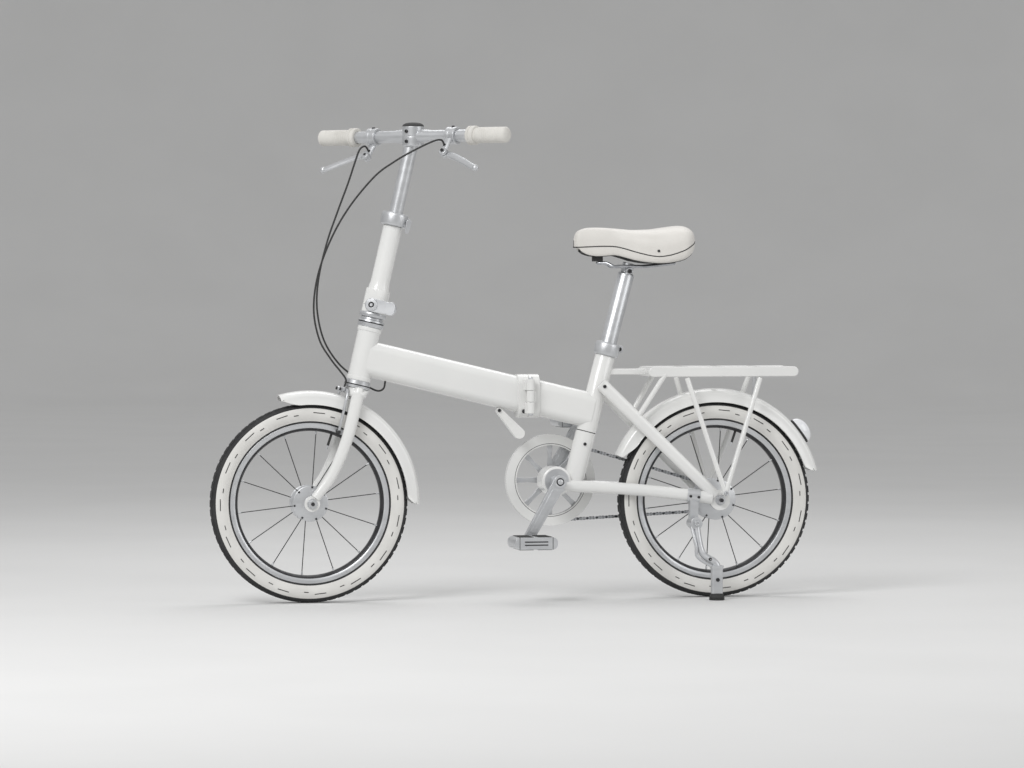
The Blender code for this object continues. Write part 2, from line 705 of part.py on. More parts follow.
def stays(name, way, parent):
    """Chainstay with its dropout, and the seatstay above it."""
    run = chainstay_run(way)
    stay = bent_tube(run, CHAINSTAY_RADIUS)
    side = REAR_AXLE + way * DROPOUT_Y * ACROSS
    half = DROPOUT_THICKNESS / 2 * ACROSS
    fuse(stay, rod(side - half, side + half, DROPOUT_RADIUS, sides=20))
    shell_end = BRACKET_SHELL_LENGTH * ACROSS
    shell = rod(BRACKET - shell_end, BRACKET + shell_end, BRACKET_SHELL_RADIUS + FIT, sides=20)
    cut(stay, seat_clearance(), shell, axle_hole(REAR_AXLE, REAR_AXLE_LENGTH))
    part(stay, name + "_chainstay", WHITE_PAINT, parent)
    top = seating(SEATSTAY_TOP_STATION, way * SEATSTAY_TOP_Y)
    seatstay = oval_rod(top, side, SEATSTAY_HALF_THICKNESS, SEATSTAY_HALF_DEPTH)
    dropout = rod(side - 4 * half, side + 4 * half, DROPOUT_RADIUS + FIT, sides=20)
    cut(seatstay, seat_clearance(), dropout, bent_tube(run, CHAINSTAY_RADIUS + FIT))
    part(seatstay, name + "_seatstay", WHITE_PAINT, parent)


def chain_outline(offset):
    """Outline of the chain's loop round both toothed wheels, moved out from its pitch line."""
    span = REAR_AXLE - BRACKET
    length = math.hypot(span.x, span.z)
    slope = math.atan2(span.z, span.x)
    lean = math.acos((CHAINRING_RADIUS - SPROCKET_RADIUS) / length)
    outline = []
    for centre, radius, first, sweep, count in (
            (BRACKET, CHAINRING_RADIUS, slope + lean, math.tau - 2 * lean, 25),
            (REAR_AXLE, SPROCKET_RADIUS, slope - lean, 2 * lean, 11)):
        for step in range(count):
            angle = first + sweep * step / (count - 1)
            outline.append((centre.x + (radius + offset) * math.cos(angle),
                            centre.z + (radius + offset) * math.sin(angle)))
    return outline


def chain(parent):
    """Chain as one loop, grooved inside for the teeth."""
    middle = Matrix.Translation(CHAIN_LINE * ACROSS) @ Matrix.Rotation(math.pi / 2, 4, "X")
    half = CHAIN_HEIGHT / 2
    loop = plate([chain_outline(half), chain_outline(-half)], CHAIN_WIDTH, middle)
    groove = plate([chain_outline(half - CHAIN_WALL), chain_outline(-half - CHAIN_WALL)],
                   CHAIN_WIDTH - 2 * CHAIN_WALL, middle)
    part(cut(loop, groove), "chain", STEEL, parent)


def sprocket(parent):
    """Rear sprocket on its freewheel boss."""
    bore = AXLE_RADIUS + RUNNING
    boss = SPROCKET_RADIUS / 2
    tip = SPROCKET_RADIUS + RUNNING
    inner = HUB_LENGTH / 2 + RUNNING
    outer = DROPOUT_Y - DROPOUT_THICKNESS / 2 - RUNNING
    near, far = CHAIN_LINE - TOOTH_PLATE_THICKNESS / 2, CHAIN_LINE + TOOTH_PLATE_THICKNESS / 2
    profile = [(boss, outer), (boss, far), (tip, far), (tip, near), (boss, near), (boss, inner),
               (bore, inner), (bore, outer)]
    part(turned(profile, frame_at(REAR_AXLE, ACROSS), 24, True), "rear_sprocket", STEEL, parent)


def chainring(parent):
    """Toothed ring with the chainguard disc outside it."""
    near, far = CHAIN_LINE - TOOTH_PLATE_THICKNESS / 2, CHAIN_LINE + TOOTH_PLATE_THICKNESS / 2
    guard = CHAIN_LINE + CHAIN_WIDTH / 2 + RUNNING
    tip = CHAINRING_RADIUS + RUNNING
    shoulder = CHAINRING_RADIUS - CHAIN_HEIGHT
    profile = [(CHAINGUARD_RADIUS, guard + CHAINGUARD_THICKNESS), (CHAINGUARD_RADIUS, guard),
               (shoulder, guard), (shoulder, far), (tip, far), (tip, near),
               (CHAINRING_INNER_RADIUS, near), (CHAINRING_INNER_RADIUS, guard + CHAINGUARD_THICKNESS)]
    part(turned(profile, frame_at(BRACKET, ACROSS), CHAINRING_STEPS, True), "chainring", SILVER, parent)


def crank(name, way, angle, parent):
    """Crank arm with its pedal spindle; the right one carries the axle and the spider."""
    out = way * ACROSS
    along = Vector((math.cos(angle), 0.0, math.sin(angle)))
    inner = BRACKET + CRANK_INNER_FACE * out
    outer = inner + CRANK_THICKNESS * out
    outline = link_outline(CRANK_LENGTH, CRANK_END_RADIUS, CRANK_WIDTH / 2)
    arm = plate([outline], CRANK_THICKNESS, in_plane((inner + outer) / 2, along, ACROSS))
    pedal_eye = (inner + outer) / 2 + CRANK_LENGTH * along
    spindle_end = outer + CRANK_LENGTH * along + (PEDAL_GAP + PEDAL_LENGTH) * out
    fuse(arm, rod(pedal_eye, spindle_end, PEDAL_SPINDLE_RADIUS))
    boss_start = BRACKET + (BRACKET_SHELL_LENGTH / 2 + RUNNING) * out
    if way > 0:
        spider_face = CHAIN_LINE + CHAIN_WIDTH / 2 + RUNNING
        fuse(arm, rod(BRACKET + spider_face * out, (inner + outer) / 2, CRANK_END_RADIUS, sides=20))
        fuse(arm, spider(spider_face))
        far_end = BRACKET - (CRANK_INNER_FACE + CRANK_THICKNESS) * out
        fuse(arm, rod(far_end, (inner + outer) / 2, SPINDLE_RADIUS))
    else:
        fuse(arm, rod(boss_start, (inner + outer) / 2, CRANK_END_RADIUS, sides=20))
        cut(arm, rod(BRACKET, outer + out * CRANK_THICKNESS, SPINDLE_RADIUS + FIT))
    part(arm, name + "_crank", SILVER, parent)
    return outer + CRANK_LENGTH * along + PEDAL_GAP * out


def spider(face):
    """Star of arms between the right crank's boss and the chainring."""
    arms = bmesh.new()
    bmesh.ops.create_cone(arms, cap_ends=True, segments=SPIDER_ARMS, radius1=2 * CRANK_END_RADIUS,
                          radius2=2 * CRANK_END_RADIUS, depth=CHAINGUARD_THICKNESS)
    star = from_bmesh(arms, frame_at(BRACKET + (face + CHAINGUARD_THICKNESS / 2) * ACROSS, ACROSS))
    reach = CHAINRING_INNER_RADIUS * math.cos(math.pi / CHAINRING_STEPS) - 2 * FIT
    for index in range(SPIDER_ARMS):
        turn = Matrix.Rotation(index / SPIDER_ARMS * math.tau, 4, "Z")
        place = star.matrix_world @ turn @ Matrix.Translation((reach / 2, 0.0, 0.0))
        fuse(star, box((reach, SPIDER_ARM_WIDTH, CHAINGUARD_THICKNESS - 2 * FIT), place))
    return star


def pedal(name, way, inner_end, parent):
    """Pedal block turning on its spindle."""
    out = way * ACROSS
    centre = inner_end + PEDAL_LENGTH / 2 * out
    block = box((PEDAL_WIDTH, PEDAL_LENGTH, PEDAL_HEIGHT), Matrix.Translation(centre), PEDAL_HEIGHT / 5)
    bore = rod(inner_end - PEDAL_GAP * out, centre + PEDAL_LENGTH * out, PEDAL_SPINDLE_RADIUS + RUNNING)
    part(cut(block, bore), name + "_pedal", BLACK_RUBBER, parent)


CROWN_TOP = HEAD_TUBE_BOTTOM - LOWER_CUP_HEIGHT - 2 * FIT
CROWN_STATION = CROWN_TOP - CROWN_HEIGHT / 2
POST_BASE = HEAD_TUBE_BOTTOM + HEAD_TUBE_LENGTH + UPPER_CUP_HEIGHT + 2 * FIT
POST_PARTING = POST_BASE + POST_HINGE_BASE_HEIGHT
POST_TUBE_TOP = POST_PARTING + POST_HINGE_TOP_HEIGHT + LOWER_POST_LENGTH
POST_FOLD_AXIS = math.cos(POST_HINGE_TURN) * STEER_AHEAD + math.sin(POST_HINGE_TURN) * ACROSS
POST_FOLD_SIDE = POST_FOLD_AXIS.cross(STEER_UP)
POST_PIN = steering(POST_PARTING) + POST_PIN_OFFSET * POST_FOLD_SIDE
BAR_CENTRE = steering(HANDLEBAR_STATION)
BAR_AHEAD = Vector((-math.cos(BAR_TURN), -math.sin(BAR_TURN), 0.0))
BAR_LEFT = Vector((math.sin(BAR_TURN), -math.cos(BAR_TURN), 0.0))


def fork(parent):
    """Steerer, crown, two blades curved forward, their tips, and the stud of the front brake."""
    crown = box((CROWN_DEPTH, BLADE_SPACING + 2 * BLADE_RADIUS, CROWN_HEIGHT),
                frame_at(steering(CROWN_STATION), STEER_UP), CROWN_HEIGHT / 4)
    fuse(crown, rod(steering(CROWN_STATION), steering(POST_BASE - FIT), STEERER_RADIUS))
    stud_start = steering(CROWN_STATION, CROWN_DEPTH / 2 - CROWN_HEIGHT / 2)
    stud_end = steering(CROWN_STATION, CROWN_DEPTH / 2 + BRAKE_STUD_LENGTH)
    fuse(crown, rod(stud_start, stud_end, BRAKE_STUD_RADIUS))
    for way in (-1, 1):
        high, low = way * BLADE_SPACING / 2, way * FORK_TIP_SPACING / 2
        run = smooth_run([steering(CROWN_STATION, 0.0, high),
                          steering(0.6 * CROWN_STATION, 0.04 * FORK_RAKE, high),
                          steering(0.28 * CROWN_STATION, 0.36 * FORK_RAKE, (high + low) / 2),
                          steering(0.8 * FORK_TIP_RADIUS, 0.9 * FORK_RAKE, low)], 11)
        tip = FRONT_AXLE + low * ACROSS
        half = FORK_TIP_THICKNESS / 2 * ACROSS
        fuse(crown, bent_tube(run, BLADE_RADIUS), rod(tip - half, tip + half, FORK_TIP_RADIUS))
    part(cut(crown, axle_hole(FRONT_AXLE, FRONT_AXLE_LENGTH)), "fork", WHITE_PAINT, parent)


def mudguard(name, wheel_axle, ahead, behind, bracket, parent):
    """Arched guard over a wheel, open below, with the bracket that holds it."""
    place = frame_at(wheel_axle, ACROSS) @ Matrix.Rotation(-ahead, 4, "Z")
    half = MUDGUARD_WIDTH / 2
    half_profile = [(MUDGUARD_RADIUS, half / 3), (MUDGUARD_RADIUS - 0.1 * MUDGUARD_DEPTH, 0.7 * half),
                    (MUDGUARD_RADIUS - 0.4 * MUDGUARD_DEPTH, half), (MUDGUARD_RADIUS - MUDGUARD_DEPTH, half)]
    profile = [(radius, -height) for radius, height in half_profile]
    guard = turned(list(reversed(half_profile)) + profile, place, 14, angle=ahead + behind)
    wall = guard.modifiers.new("wall", "SOLIDIFY")
    wall.thickness = MUDGUARD_WALL
    wall.offset = 0.0
    part(fuse(guard, bracket), name, WHITE_PAINT, parent)


def post_hinge(base_parent, post_parent):
    """Handlepost hinge: its base on the steerer, and the lower post that folds on it."""
    size = (POST_HINGE_WIDTH, POST_HINGE_DEPTH)
    rounding = POST_HINGE_BASE_HEIGHT / 5
    base_height = POST_HINGE_BASE_HEIGHT - FIT
    base_middle = steering(POST_BASE + base_height / 2)
    base = box((*size, base_height), frame_at(base_middle, STEER_UP, POST_FOLD_SIDE), rounding)
    top_station = POST_PARTING + POST_HINGE_TOP_HEIGHT
    post_middle = steering(POST_PARTING + POST_HINGE_TOP_HEIGHT / 2)
    post = box((*size, POST_HINGE_TOP_HEIGHT), frame_at(post_middle, STEER_UP, POST_FOLD_SIDE), rounding)
    third = (POST_HINGE_WIDTH - 2 * rounding) / 3
    web = (POST_PIN_OFFSET - POST_HINGE_DEPTH / 2 + 2 * rounding, POST_HINGE_BASE_HEIGHT / 2)
    axis, side = POST_FOLD_AXIS, -POST_FOLD_SIDE
    fuse(base, *knuckle(POST_PIN, axis, -third / 2, third / 2, KNUCKLE_RADIUS, web, -STEER_UP, side))
    pin_end = 1.5 * third * axis
    fuse(base, rod(POST_PIN - pin_end, POST_PIN + pin_end, PIN_RADIUS))
    part(base, "handlepost_hinge_base", WHITE_PAINT, base_parent)
    for way in (-1, 1):
        low, high = sorted((way * (third / 2 + RUNNING), way * 1.5 * third))
        fuse(post, *knuckle(POST_PIN, axis, low, high, KNUCKLE_RADIUS, web, STEER_UP, side))
    fuse(post, rod(steering(top_station - rounding), steering(POST_TUBE_TOP), LOWER_POST_RADIUS, sides=20))
    cut(post, rod(POST_PIN - 2 * pin_end, POST_PIN + 2 * pin_end, PIN_RADIUS + FIT),
        rod(steering(top_station), steering(HANDLEBAR_STATION), UPPER_POST_RADIUS + FIT, sides=20))
    part(post, "handlepost_lower", WHITE_PAINT, post_parent)
    collar = ring(UPPER_POST_RADIUS + FIT, POST_COLLAR_RADIUS, FIT, POST_COLLAR_HEIGHT,
                  frame_at(steering(POST_TUBE_TOP), STEER_UP))
    bolt = steering(POST_TUBE_TOP + POST_COLLAR_HEIGHT / 2, -POST_COLLAR_RADIUS)
    half = POST_COLLAR_RADIUS * ACROSS
    fuse(collar, rod(bolt - half, bolt + half, POST_COLLAR_HEIGHT / 4))
    part(collar, "handlepost_collar", SILVER, post_parent)


def post_latch_pivot():
    """Pivot of the handlepost's latch lever, over the parting line on the hinge's face opposite the pin."""
    reach = POST_HINGE_DEPTH / 2 + LEVER_DEPTH / 2 + FIT
    return steering(POST_PARTING) - reach * POST_FOLD_SIDE


def post_latch(parent):
    """Latch lever lying back along the parting line of the handlepost hinge."""
    outline = link_outline(POST_LATCH_LENGTH, POST_LATCH_BOSS_RADIUS, POST_LATCH_END_RADIUS)
    lever = plate([outline], LEVER_DEPTH, in_plane(post_latch_pivot(), -POST_FOLD_AXIS, POST_FOLD_SIDE))
    part(lever, "handlepost_latch_lever", SILVER, parent)


def upper_post(parent):
    """Sliding upper handlepost."""
    tube = rod(steering(POST_TUBE_TOP - UPPER_POST_INSERTION), BAR_CENTRE, UPPER_POST_RADIUS, sides=20)
    cut(tube, beyond(BAR_CENTRE - (BAR_HEAD_LENGTH / 2 + FIT) * UP, UP))
    part(tube, "handlepost_upper", SILVER, parent)


def handlebar(parent):
    """Straight bar with its swivel head, top cap and grips."""
    bar = rod(BAR_CENTRE - BAR_HALF_LENGTH * BAR_LEFT, BAR_CENTRE + BAR_HALF_LENGTH * BAR_LEFT, BAR_RADIUS)
    half = BAR_HEAD_LENGTH / 2 * UP
    fuse(bar, rod(BAR_CENTRE - half, BAR_CENTRE + half, BAR_HEAD_RADIUS, sides=20))
    part(bar, "handlebar", SILVER, parent)
    dome = [(0.0, CAP_HEIGHT), (0.5 * BAR_HEAD_RADIUS, 0.9 * CAP_HEIGHT),
            (0.85 * BAR_HEAD_RADIUS, 0.6 * CAP_HEIGHT), (BAR_HEAD_RADIUS, FIT), (0.0, FIT)]
    part(turned(dome, frame_at(BAR_CENTRE + half, UP), 24), "bar_top_cap", BLACK_PLASTIC, parent)
    start = BAR_HALF_LENGTH - GRIP_LENGTH
    collar = start + GRIP_COLLAR_LENGTH
    closed = BAR_HALF_LENGTH + FIT
    end = closed + GRIP_RADIUS / 5
    bore = BAR_RADIUS + FIT
    profile = [(0.0, end), (0.8 * GRIP_RADIUS, end), (GRIP_RADIUS, closed), (GRIP_RADIUS, collar),
               (GRIP_COLLAR_RADIUS, collar), (GRIP_COLLAR_RADIUS, start), (bore, start), (bore, closed),
               (0.0, closed)]
    for name, out in (("left", BAR_LEFT), ("right", -BAR_LEFT)):
        part(turned(profile, frame_at(BAR_CENTRE, out, UP), 16), name + "_grip", PALE_RUBBER, parent)


def lever_clamp_centre(out):
    """Middle of a brake lever's clamp on the bar."""
    return BAR_CENTRE + LEVER_CLAMP_FROM_CENTRE * out


def lever_pivot(out):
    """Pivot of a brake lever, ahead of the bar and below it."""
    return lever_clamp_centre(out) + LEVER_PIVOT_FORWARD * BAR_AHEAD - LEVER_PIVOT_DROP * UP


def lever_axis(out):
    """Axis about which a brake lever closes toward its grip."""
    drop = LEVER_PIVOT_FORWARD * BAR_AHEAD - LEVER_PIVOT_DROP * UP
    return drop.cross(out).normalized()


def brake_lever(name, out, bar_parent, parent):
    """Lever clamp on the bar, and the lever that turns on its pin."""
    clamp_centre = lever_clamp_centre(out)
    half = LEVER_CLAMP_WIDTH / 2
    pivot, axis = lever_pivot(out), lever_axis(out)
    drop = (pivot - clamp_centre).normalized()
    clamp = ring(BAR_RADIUS + FIT, LEVER_CLAMP_RADIUS, -half, half, frame_at(clamp_centre, out, UP), 16)
    beside = (LEVER_DEPTH + FIT) * axis
    start = clamp_centre + (BAR_RADIUS + LEVER_CLAMP_RADIUS) / 2 * drop
    arm = rod(start + beside, pivot + beside, LEVER_DEPTH / 2)
    boss_half = LEVER_DEPTH / 2 * axis
    boss = rod(pivot + beside - boss_half, pivot + beside + boss_half, LEVER_BOSS_RADIUS)
    pin = rod(pivot - boss_half, pivot + beside, PIN_RADIUS)
    part(fuse(clamp, arm, boss, pin), name + "_lever_clamp", SILVER, bar_parent)
    along = LEVER_REACH * out + LEVER_SPLAY * drop
    outline = link_outline(along.length, LEVER_BOSS_RADIUS, LEVER_THICKNESS / 2)
    lever = plate([outline], LEVER_DEPTH, in_plane(pivot, along, axis))
    tip = pivot + along
    tip_half = LEVER_THICKNESS / 2 * axis
    fuse(lever, rod(tip - tip_half, tip + tip_half, 0.6 * LEVER_THICKNESS))
    cut(lever, rod(pivot - LEVER_DEPTH * axis, pivot + LEVER_DEPTH * axis, PIN_RADIUS + FIT))
    part(lever, name + "_brake_lever", SILVER, parent)


def brake_arm_ahead(index):
    """Distance of a front brake arm's middle plane ahead of the steering axis."""
    return CROWN_DEPTH / 2 + FIT + BRAKE_ARM_THICKNESS / 2 + index * (BRAKE_ARM_THICKNESS + FIT)


def brake_arm(name, way, index, parent):
    """Arm of the front brake from its stud, round the tyre, to a pad beside the rim."""
    ahead = brake_arm_ahead(index)
    rim_middle = (RIM_RADIUS + RIM_INNER_RADIUS) / 2
    pad_station = math.sqrt(rim_middle ** 2 - (FORK_RAKE - ahead) ** 2)
    stud = steering(CROWN_STATION, ahead)
    elbow = steering(CROWN_STATION - BRAKE_ARM_WIDTH, ahead, way * BRAKE_ARM_SPREAD)
    foot = steering(pad_station, ahead, way * BRAKE_ARM_SPREAD)
    anchor = steering(CROWN_STATION + BRAKE_ARM_THICKNESS / 4, ahead, -way * 2 * BRAKE_ARM_WIDTH)
    half = BRAKE_ARM_THICKNESS / 2
    arm = rod(stud - half * STEER_AHEAD, stud + half * STEER_AHEAD, BRAKE_ARM_WIDTH / 2 + FIT)
    reach = BRAKE_ARM_SPREAD - RIM_WIDTH / 2 - PAD_GAP
    pad_centre = foot - way * reach / 2 * ACROSS
    pad = box((BRAKE_ARM_THICKNESS - 2 * FIT, reach, PAD_LENGTH / 2), frame_at(pad_centre, STEER_UP))
    fuse(arm, bent_tube(smooth_run([anchor, stud, elbow, foot], 9), half - FIT), pad)
    reach_ahead = BRAKE_ARM_THICKNESS * STEER_AHEAD
    part(cut(arm, rod(stud - reach_ahead, stud + reach_ahead, BRAKE_STUD_RADIUS + FIT)), name + "_brake_arm",
         SILVER, parent)


def seatpost(parent):
    """Seatpost with its neck and the clamp bar under the saddle's rails."""
    top = SEAT_TUBE_LENGTH + SEATPOST_EXPOSED
    post = rod(seating(SEAT_TUBE_LENGTH - SEATPOST_INSERTION), seating(top), SEATPOST_RADIUS, sides=20)
    rail_level = saddle_rail_z()
    neck_top = seating((saddle_base_z() - 2 * FIT - SEAT_FOOT_Z) / SEAT_UP.z)
    fuse(post, rod(seating(top - NECK_RADIUS), neck_top, NECK_RADIUS, sides=20))
    cut(post, beyond(Vector((0.0, 0.0, saddle_base_z() - FIT)), UP))
    clamp_radius = 2 * RAIL_RADIUS
    clamp_z = rail_level - RAIL_RADIUS - FIT - clamp_radius
    clamp = seating((clamp_z - SEAT_FOOT_Z) / SEAT_UP.z)
    half = (RAIL_SPACING / 2 + clamp_radius) * ACROSS
    part(fuse(post, rod(clamp - half, clamp + half, clamp_radius)), "seatpost", SILVER, parent)


def saddle_seam():
    """Nose end of the seam between the saddle's cushion and base, set from the top of the seatpost."""
    return seating(SEAT_TUBE_LENGTH + SEATPOST_EXPOSED) + Vector((-SADDLE_NOSE_AHEAD, 0.0, SADDLE_RISE))


def saddle_base_z():
    """Height of the flat underside of the saddle's base."""
    return saddle_seam().z - SADDLE_BASE_DEPTH


def saddle_rail_z():
    """Height of the level middle of the saddle's rails."""
    return saddle_base_z() - 3 * RAIL_RADIUS


# Share of the saddle's length from the nose, share of its half width, crown height share
SADDLE_STATIONS = ((0.0, 0.16, 0.62), (0.06, 0.24, 0.86), (0.28, 0.34, 0.96), (0.50, 0.62, 0.93),
                   (0.72, 0.94, 0.97), (0.90, 1.0, 1.0), (1.0, 0.74, 0.62))


def saddle_section(station, low, high, tuck):
    """Ring of points round the saddle at one of its stations."""
    share, width_share, _ = station
    x = saddle_seam().x + share * SADDLE_LENGTH
    half = width_share * SADDLE_WIDTH / 2
    ring_points = ((-tuck, 0.0), (-1.0, 0.35), (-0.72, 0.92), (0.0, 1.0), (0.72, 0.92), (1.0, 0.35),
                   (tuck, 0.0), (0.0, 0.0))
    return [Vector((x, across * half, low + rise * (high - low))) for across, rise in ring_points]


def saddle(parent):
    """Crowned cushion on a base shell, and the rail wire under it."""
    nose, _, seam = saddle_seam()
    low = seam + RUNNING
    cushion = loft([saddle_section(s, low, low + s[2] * SADDLE_CROWN, 0.9) for s in SADDLE_STATIONS])
    part(softened(cushion, 2), "saddle_cushion", PALE_VINYL, parent)
    base = loft([saddle_section(s, seam, saddle_base_z(), 0.9) for s in SADDLE_STATIONS[1:-1]])
    part(softened(base, 1), "saddle_base", BLACK_PLASTIC, parent)
    front = nose + 0.2 * SADDLE_LENGTH
    clamp_x = seating((saddle_rail_z() - SEAT_FOOT_Z) / SEAT_UP.z).x
    tail = nose + 0.84 * SADDLE_LENGTH
    half = RAIL_SPACING / 2
    level, ends = saddle_rail_z(), saddle_base_z() - RAIL_RADIUS - FIT
    level_run = [(clamp_x + share * half, half, level) for share in (2, 1, -1, -2)]
    one_side = [(tail, half, ends), *level_run, (front + half, half / 2, ends), (front, 0.0, ends)]
    other_side = [(x, -across, z) for x, across, z in reversed(one_side[:-1])]
    part(bent_tube(smooth_run(one_side + other_side, 25), RAIL_RADIUS), "saddle_rails", STEEL, parent)


def softened(obj, levels):
    """Rounded form from a coarse cage."""
    surface = obj.modifiers.new("soft", "SUBSURF")
    surface.levels = levels
    surface.render_levels = levels
    return obj


def rack_underside():
    """Height of the rack's underside."""
    return RACK_TOP_Z - RACK_HEIGHT


def rack_bar_x(index):
    """Place of one of the rack's crossbars along the bicycle."""
    pitch = (RACK_LENGTH - RACK_BAR) / (RACK_CROSSBARS - 1)
    return REAR_AXLE.x - RACK_FRONT_AHEAD + RACK_BAR / 2 + index * pitch


def rack(parent):
    """Carrier platform with its tongue to the seat tube and two short front stays."""
    middle_x = REAR_AXLE.x - RACK_FRONT_AHEAD + RACK_LENGTH / 2
    middle = Vector((middle_x, 0.0, RACK_TOP_Z - RACK_HEIGHT / 2))
    outlines = [rounded_rectangle(RACK_LENGTH, RACK_WIDTH, RACK_BAR)]
    for index in range(RACK_CROSSBARS - 1):
        left, right = rack_bar_x(index) + RACK_BAR / 2, rack_bar_x(index + 1) - RACK_BAR / 2
        hole = rounded_rectangle(right - left, RACK_WIDTH - 2 * RACK_BAR, RACK_BAR / 2, 3)
        outlines.append([point + Vector(((left + right) / 2 - middle.x, 0.0)) for point in hole])
    platform = plate(outlines, RACK_HEIGHT, Matrix.Translation(middle))
    tube_x = seating((middle.z - SEAT_FOOT_Z) / SEAT_UP.z).x
    reach = rack_bar_x(0) - tube_x
    tongue = box((reach, SEAT_TUBE_RADIUS, RACK_HEIGHT - RACK_BAR),
                 Matrix.Translation((tube_x + reach / 2, 0.0, middle.z)))
    boolean(platform, tongue, "UNION", "MANIFOLD")
    cut(platform, seat_clearance())
    for way in (-1, 1):
        top = seating(SEATSTAY_TOP_STATION, way * SEATSTAY_TOP_Y)
        bottom = REAR_AXLE + way * DROPOUT_Y * ACROSS
        foot = top.lerp(bottom, 0.3)
        head = Vector((rack_bar_x(0) + 4 * RACK_BAR, way * (RACK_WIDTH - RACK_BAR) / 2, middle.z - RACK_BAR / 2))
        fuse(platform, rod(head, foot, RACK_LEG_RADIUS, sides=10))
        cut(platform, oval_rod(top, bottom, SEATSTAY_HALF_THICKNESS + FIT, SEATSTAY_HALF_DEPTH + FIT))
    part(platform, "rear_rack", WHITE_PAINT, parent)


def rack_legs(name, way, parent):
    """Pair of legs from the rack's side bar down to an eye on the dropout."""
    face = DROPOUT_Y + DROPOUT_THICKNESS / 2 + FIT
    eye_offset = Vector((RACK_LEG_EYE_RADIUS, 0.0, DROPOUT_RADIUS - RACK_LEG_EYE_RADIUS + FIT))
    outward = face + CHAINSTAY_RADIUS + 3 * RACK_LEG_RADIUS / 2
    eye = REAR_AXLE + eye_offset + way * face * ACROSS
    legs = rod(eye, REAR_AXLE + eye_offset + way * (outward + RACK_LEG_RADIUS) * ACROSS, RACK_LEG_EYE_RADIUS)
    foot = REAR_AXLE + eye_offset + way * outward * ACROSS
    level = rack_underside() - FIT - RACK_LEG_RADIUS / 2
    for index in (1, RACK_CROSSBARS - 2):
        head = Vector((rack_bar_x(index), way * (RACK_WIDTH - RACK_BAR) / 2, level))
        fuse(legs, rod(foot, head, RACK_LEG_RADIUS, sides=10))
    part(legs, name + "_rack_legs", SILVER, parent)


def tail_light(parent):
    """Long domed lamp that follows the back of the rear mudguard."""
    out = Vector((math.sin(TAIL_LIGHT_ANGLE), 0.0, math.cos(TAIL_LIGHT_ANGLE)))
    seat_radius = MUDGUARD_RADIUS + MUDGUARD_WALL / 2 + FIT
    half_width = MUDGUARD_WIDTH * ACROSS
    under = rod(REAR_AXLE - half_width, REAR_AXLE + half_width, seat_radius, sides=120)
    dome = [(0.0, TAIL_LIGHT_HEIGHT), (0.55 * TAIL_LIGHT_RADIUS, 0.86 * TAIL_LIGHT_HEIGHT),
            (0.9 * TAIL_LIGHT_RADIUS, 0.5 * TAIL_LIGHT_HEIGHT), (TAIL_LIGHT_RADIUS, 0.2 * TAIL_LIGHT_HEIGHT),
            (TAIL_LIGHT_RADIUS, -0.2 * TAIL_LIGHT_HEIGHT), (0.0, -0.2 * TAIL_LIGHT_HEIGHT)]
    place = frame_at(REAR_AXLE + seat_radius * out, out) @ Matrix.Diagonal((TAIL_LIGHT_STRETCH, 1.0, 1.0, 1.0))
    part(cut(turned(dome, place, 20), under), "tail_light", CLEAR_LENS, parent)


def stand_pivot():
    """Middle of the kickstand's pivot eye."""
    return REAR_AXLE + Vector((-STAND_PIVOT_AHEAD, -STAND_Y, -STAND_PIVOT_DROP))


def kickstand(frame_parent, parent):
    """Stand bracket under the left chainstay, its bent leg with a flat sleeve, and its rubber foot."""
    pivot = stand_pivot()
    run = chainstay_run(-1)
    stay = min(run, key=lambda point: abs(point.x - pivot.x))
    width = 2.4 * CHAINSTAY_RADIUS
    height = stay.z - pivot.z + STAND_FOOT_RADIUS
    bracket = box((2 * STAND_FOOT_RADIUS, width, height),
                  Matrix.Translation((pivot.x, stay.y, stay.z - height / 2)))
    eye_half = STAND_RADIUS * ACROSS
    boss_end = pivot + eye_half + FIT * ACROSS
    centre_y = Vector((pivot.x, stay.y, pivot.z))
    pin = rod(centre_y, pivot - eye_half, PIN_RADIUS)
    fuse(bracket, rod(centre_y, boss_end, STAND_FOOT_RADIUS), pin)
    part(cut(bracket, bent_tube(run, CHAINSTAY_RADIUS + FIT)), "kickstand_bracket", SILVER, frame_parent)
    foot = Vector((REAR_AXLE.x - STAND_FOOT_AHEAD, -STAND_FOOT_Y, 0.0))
    ankle = foot + (STAND_FOOT_HEIGHT + FIT) * UP
    knee = Vector((pivot.x + STAND_KNEE_BACK, (pivot.y + foot.y) / 2, STAND_KNEE_SHARE * pivot.z))
    hip = foot + STAND_SLEEVE_SHARE * pivot.z * UP
    leg = rod(pivot - eye_half, pivot + eye_half, STAND_FOOT_RADIUS)
    sleeve = box((STAND_SLEEVE_DEPTH, STAND_SLEEVE_WIDTH, (hip - foot).length), frame_at((hip + foot) / 2, UP))
    fuse(leg, bent_tube(smooth_run([pivot, knee, hip, ankle], 10), STAND_RADIUS), sleeve)
    cut(leg, beyond(ankle, -UP), rod(pivot - 2 * eye_half, pivot + 2 * eye_half, PIN_RADIUS + FIT))
    part(leg, "kickstand_leg", SILVER, parent)
    shoe = [(0.0, STAND_FOOT_HEIGHT), (STAND_FOOT_RADIUS, STAND_FOOT_HEIGHT),
            (STAND_SHOE_RADIUS, STAND_FOOT_HEIGHT / 2), (STAND_SHOE_RADIUS, 0.0), (0.0, 0.0)]
    part(turned(shoe, frame_at(foot, UP), 16), "kickstand_foot", BLACK_RUBBER, parent)


def frame_latch_pivot():
    """Pivot of the frame latch under the front half of the main tube."""
    along = MAIN_START + MAIN_AXIS * ((HINGE_X - MAIN_START.x - FRAME_LATCH_SETBACK) / MAIN_AXIS.x)
    return along - (MAIN_TUBE_HEIGHT / 2 + FRAME_LATCH_THICKNESS / 2 + FIT) * MAIN_UP


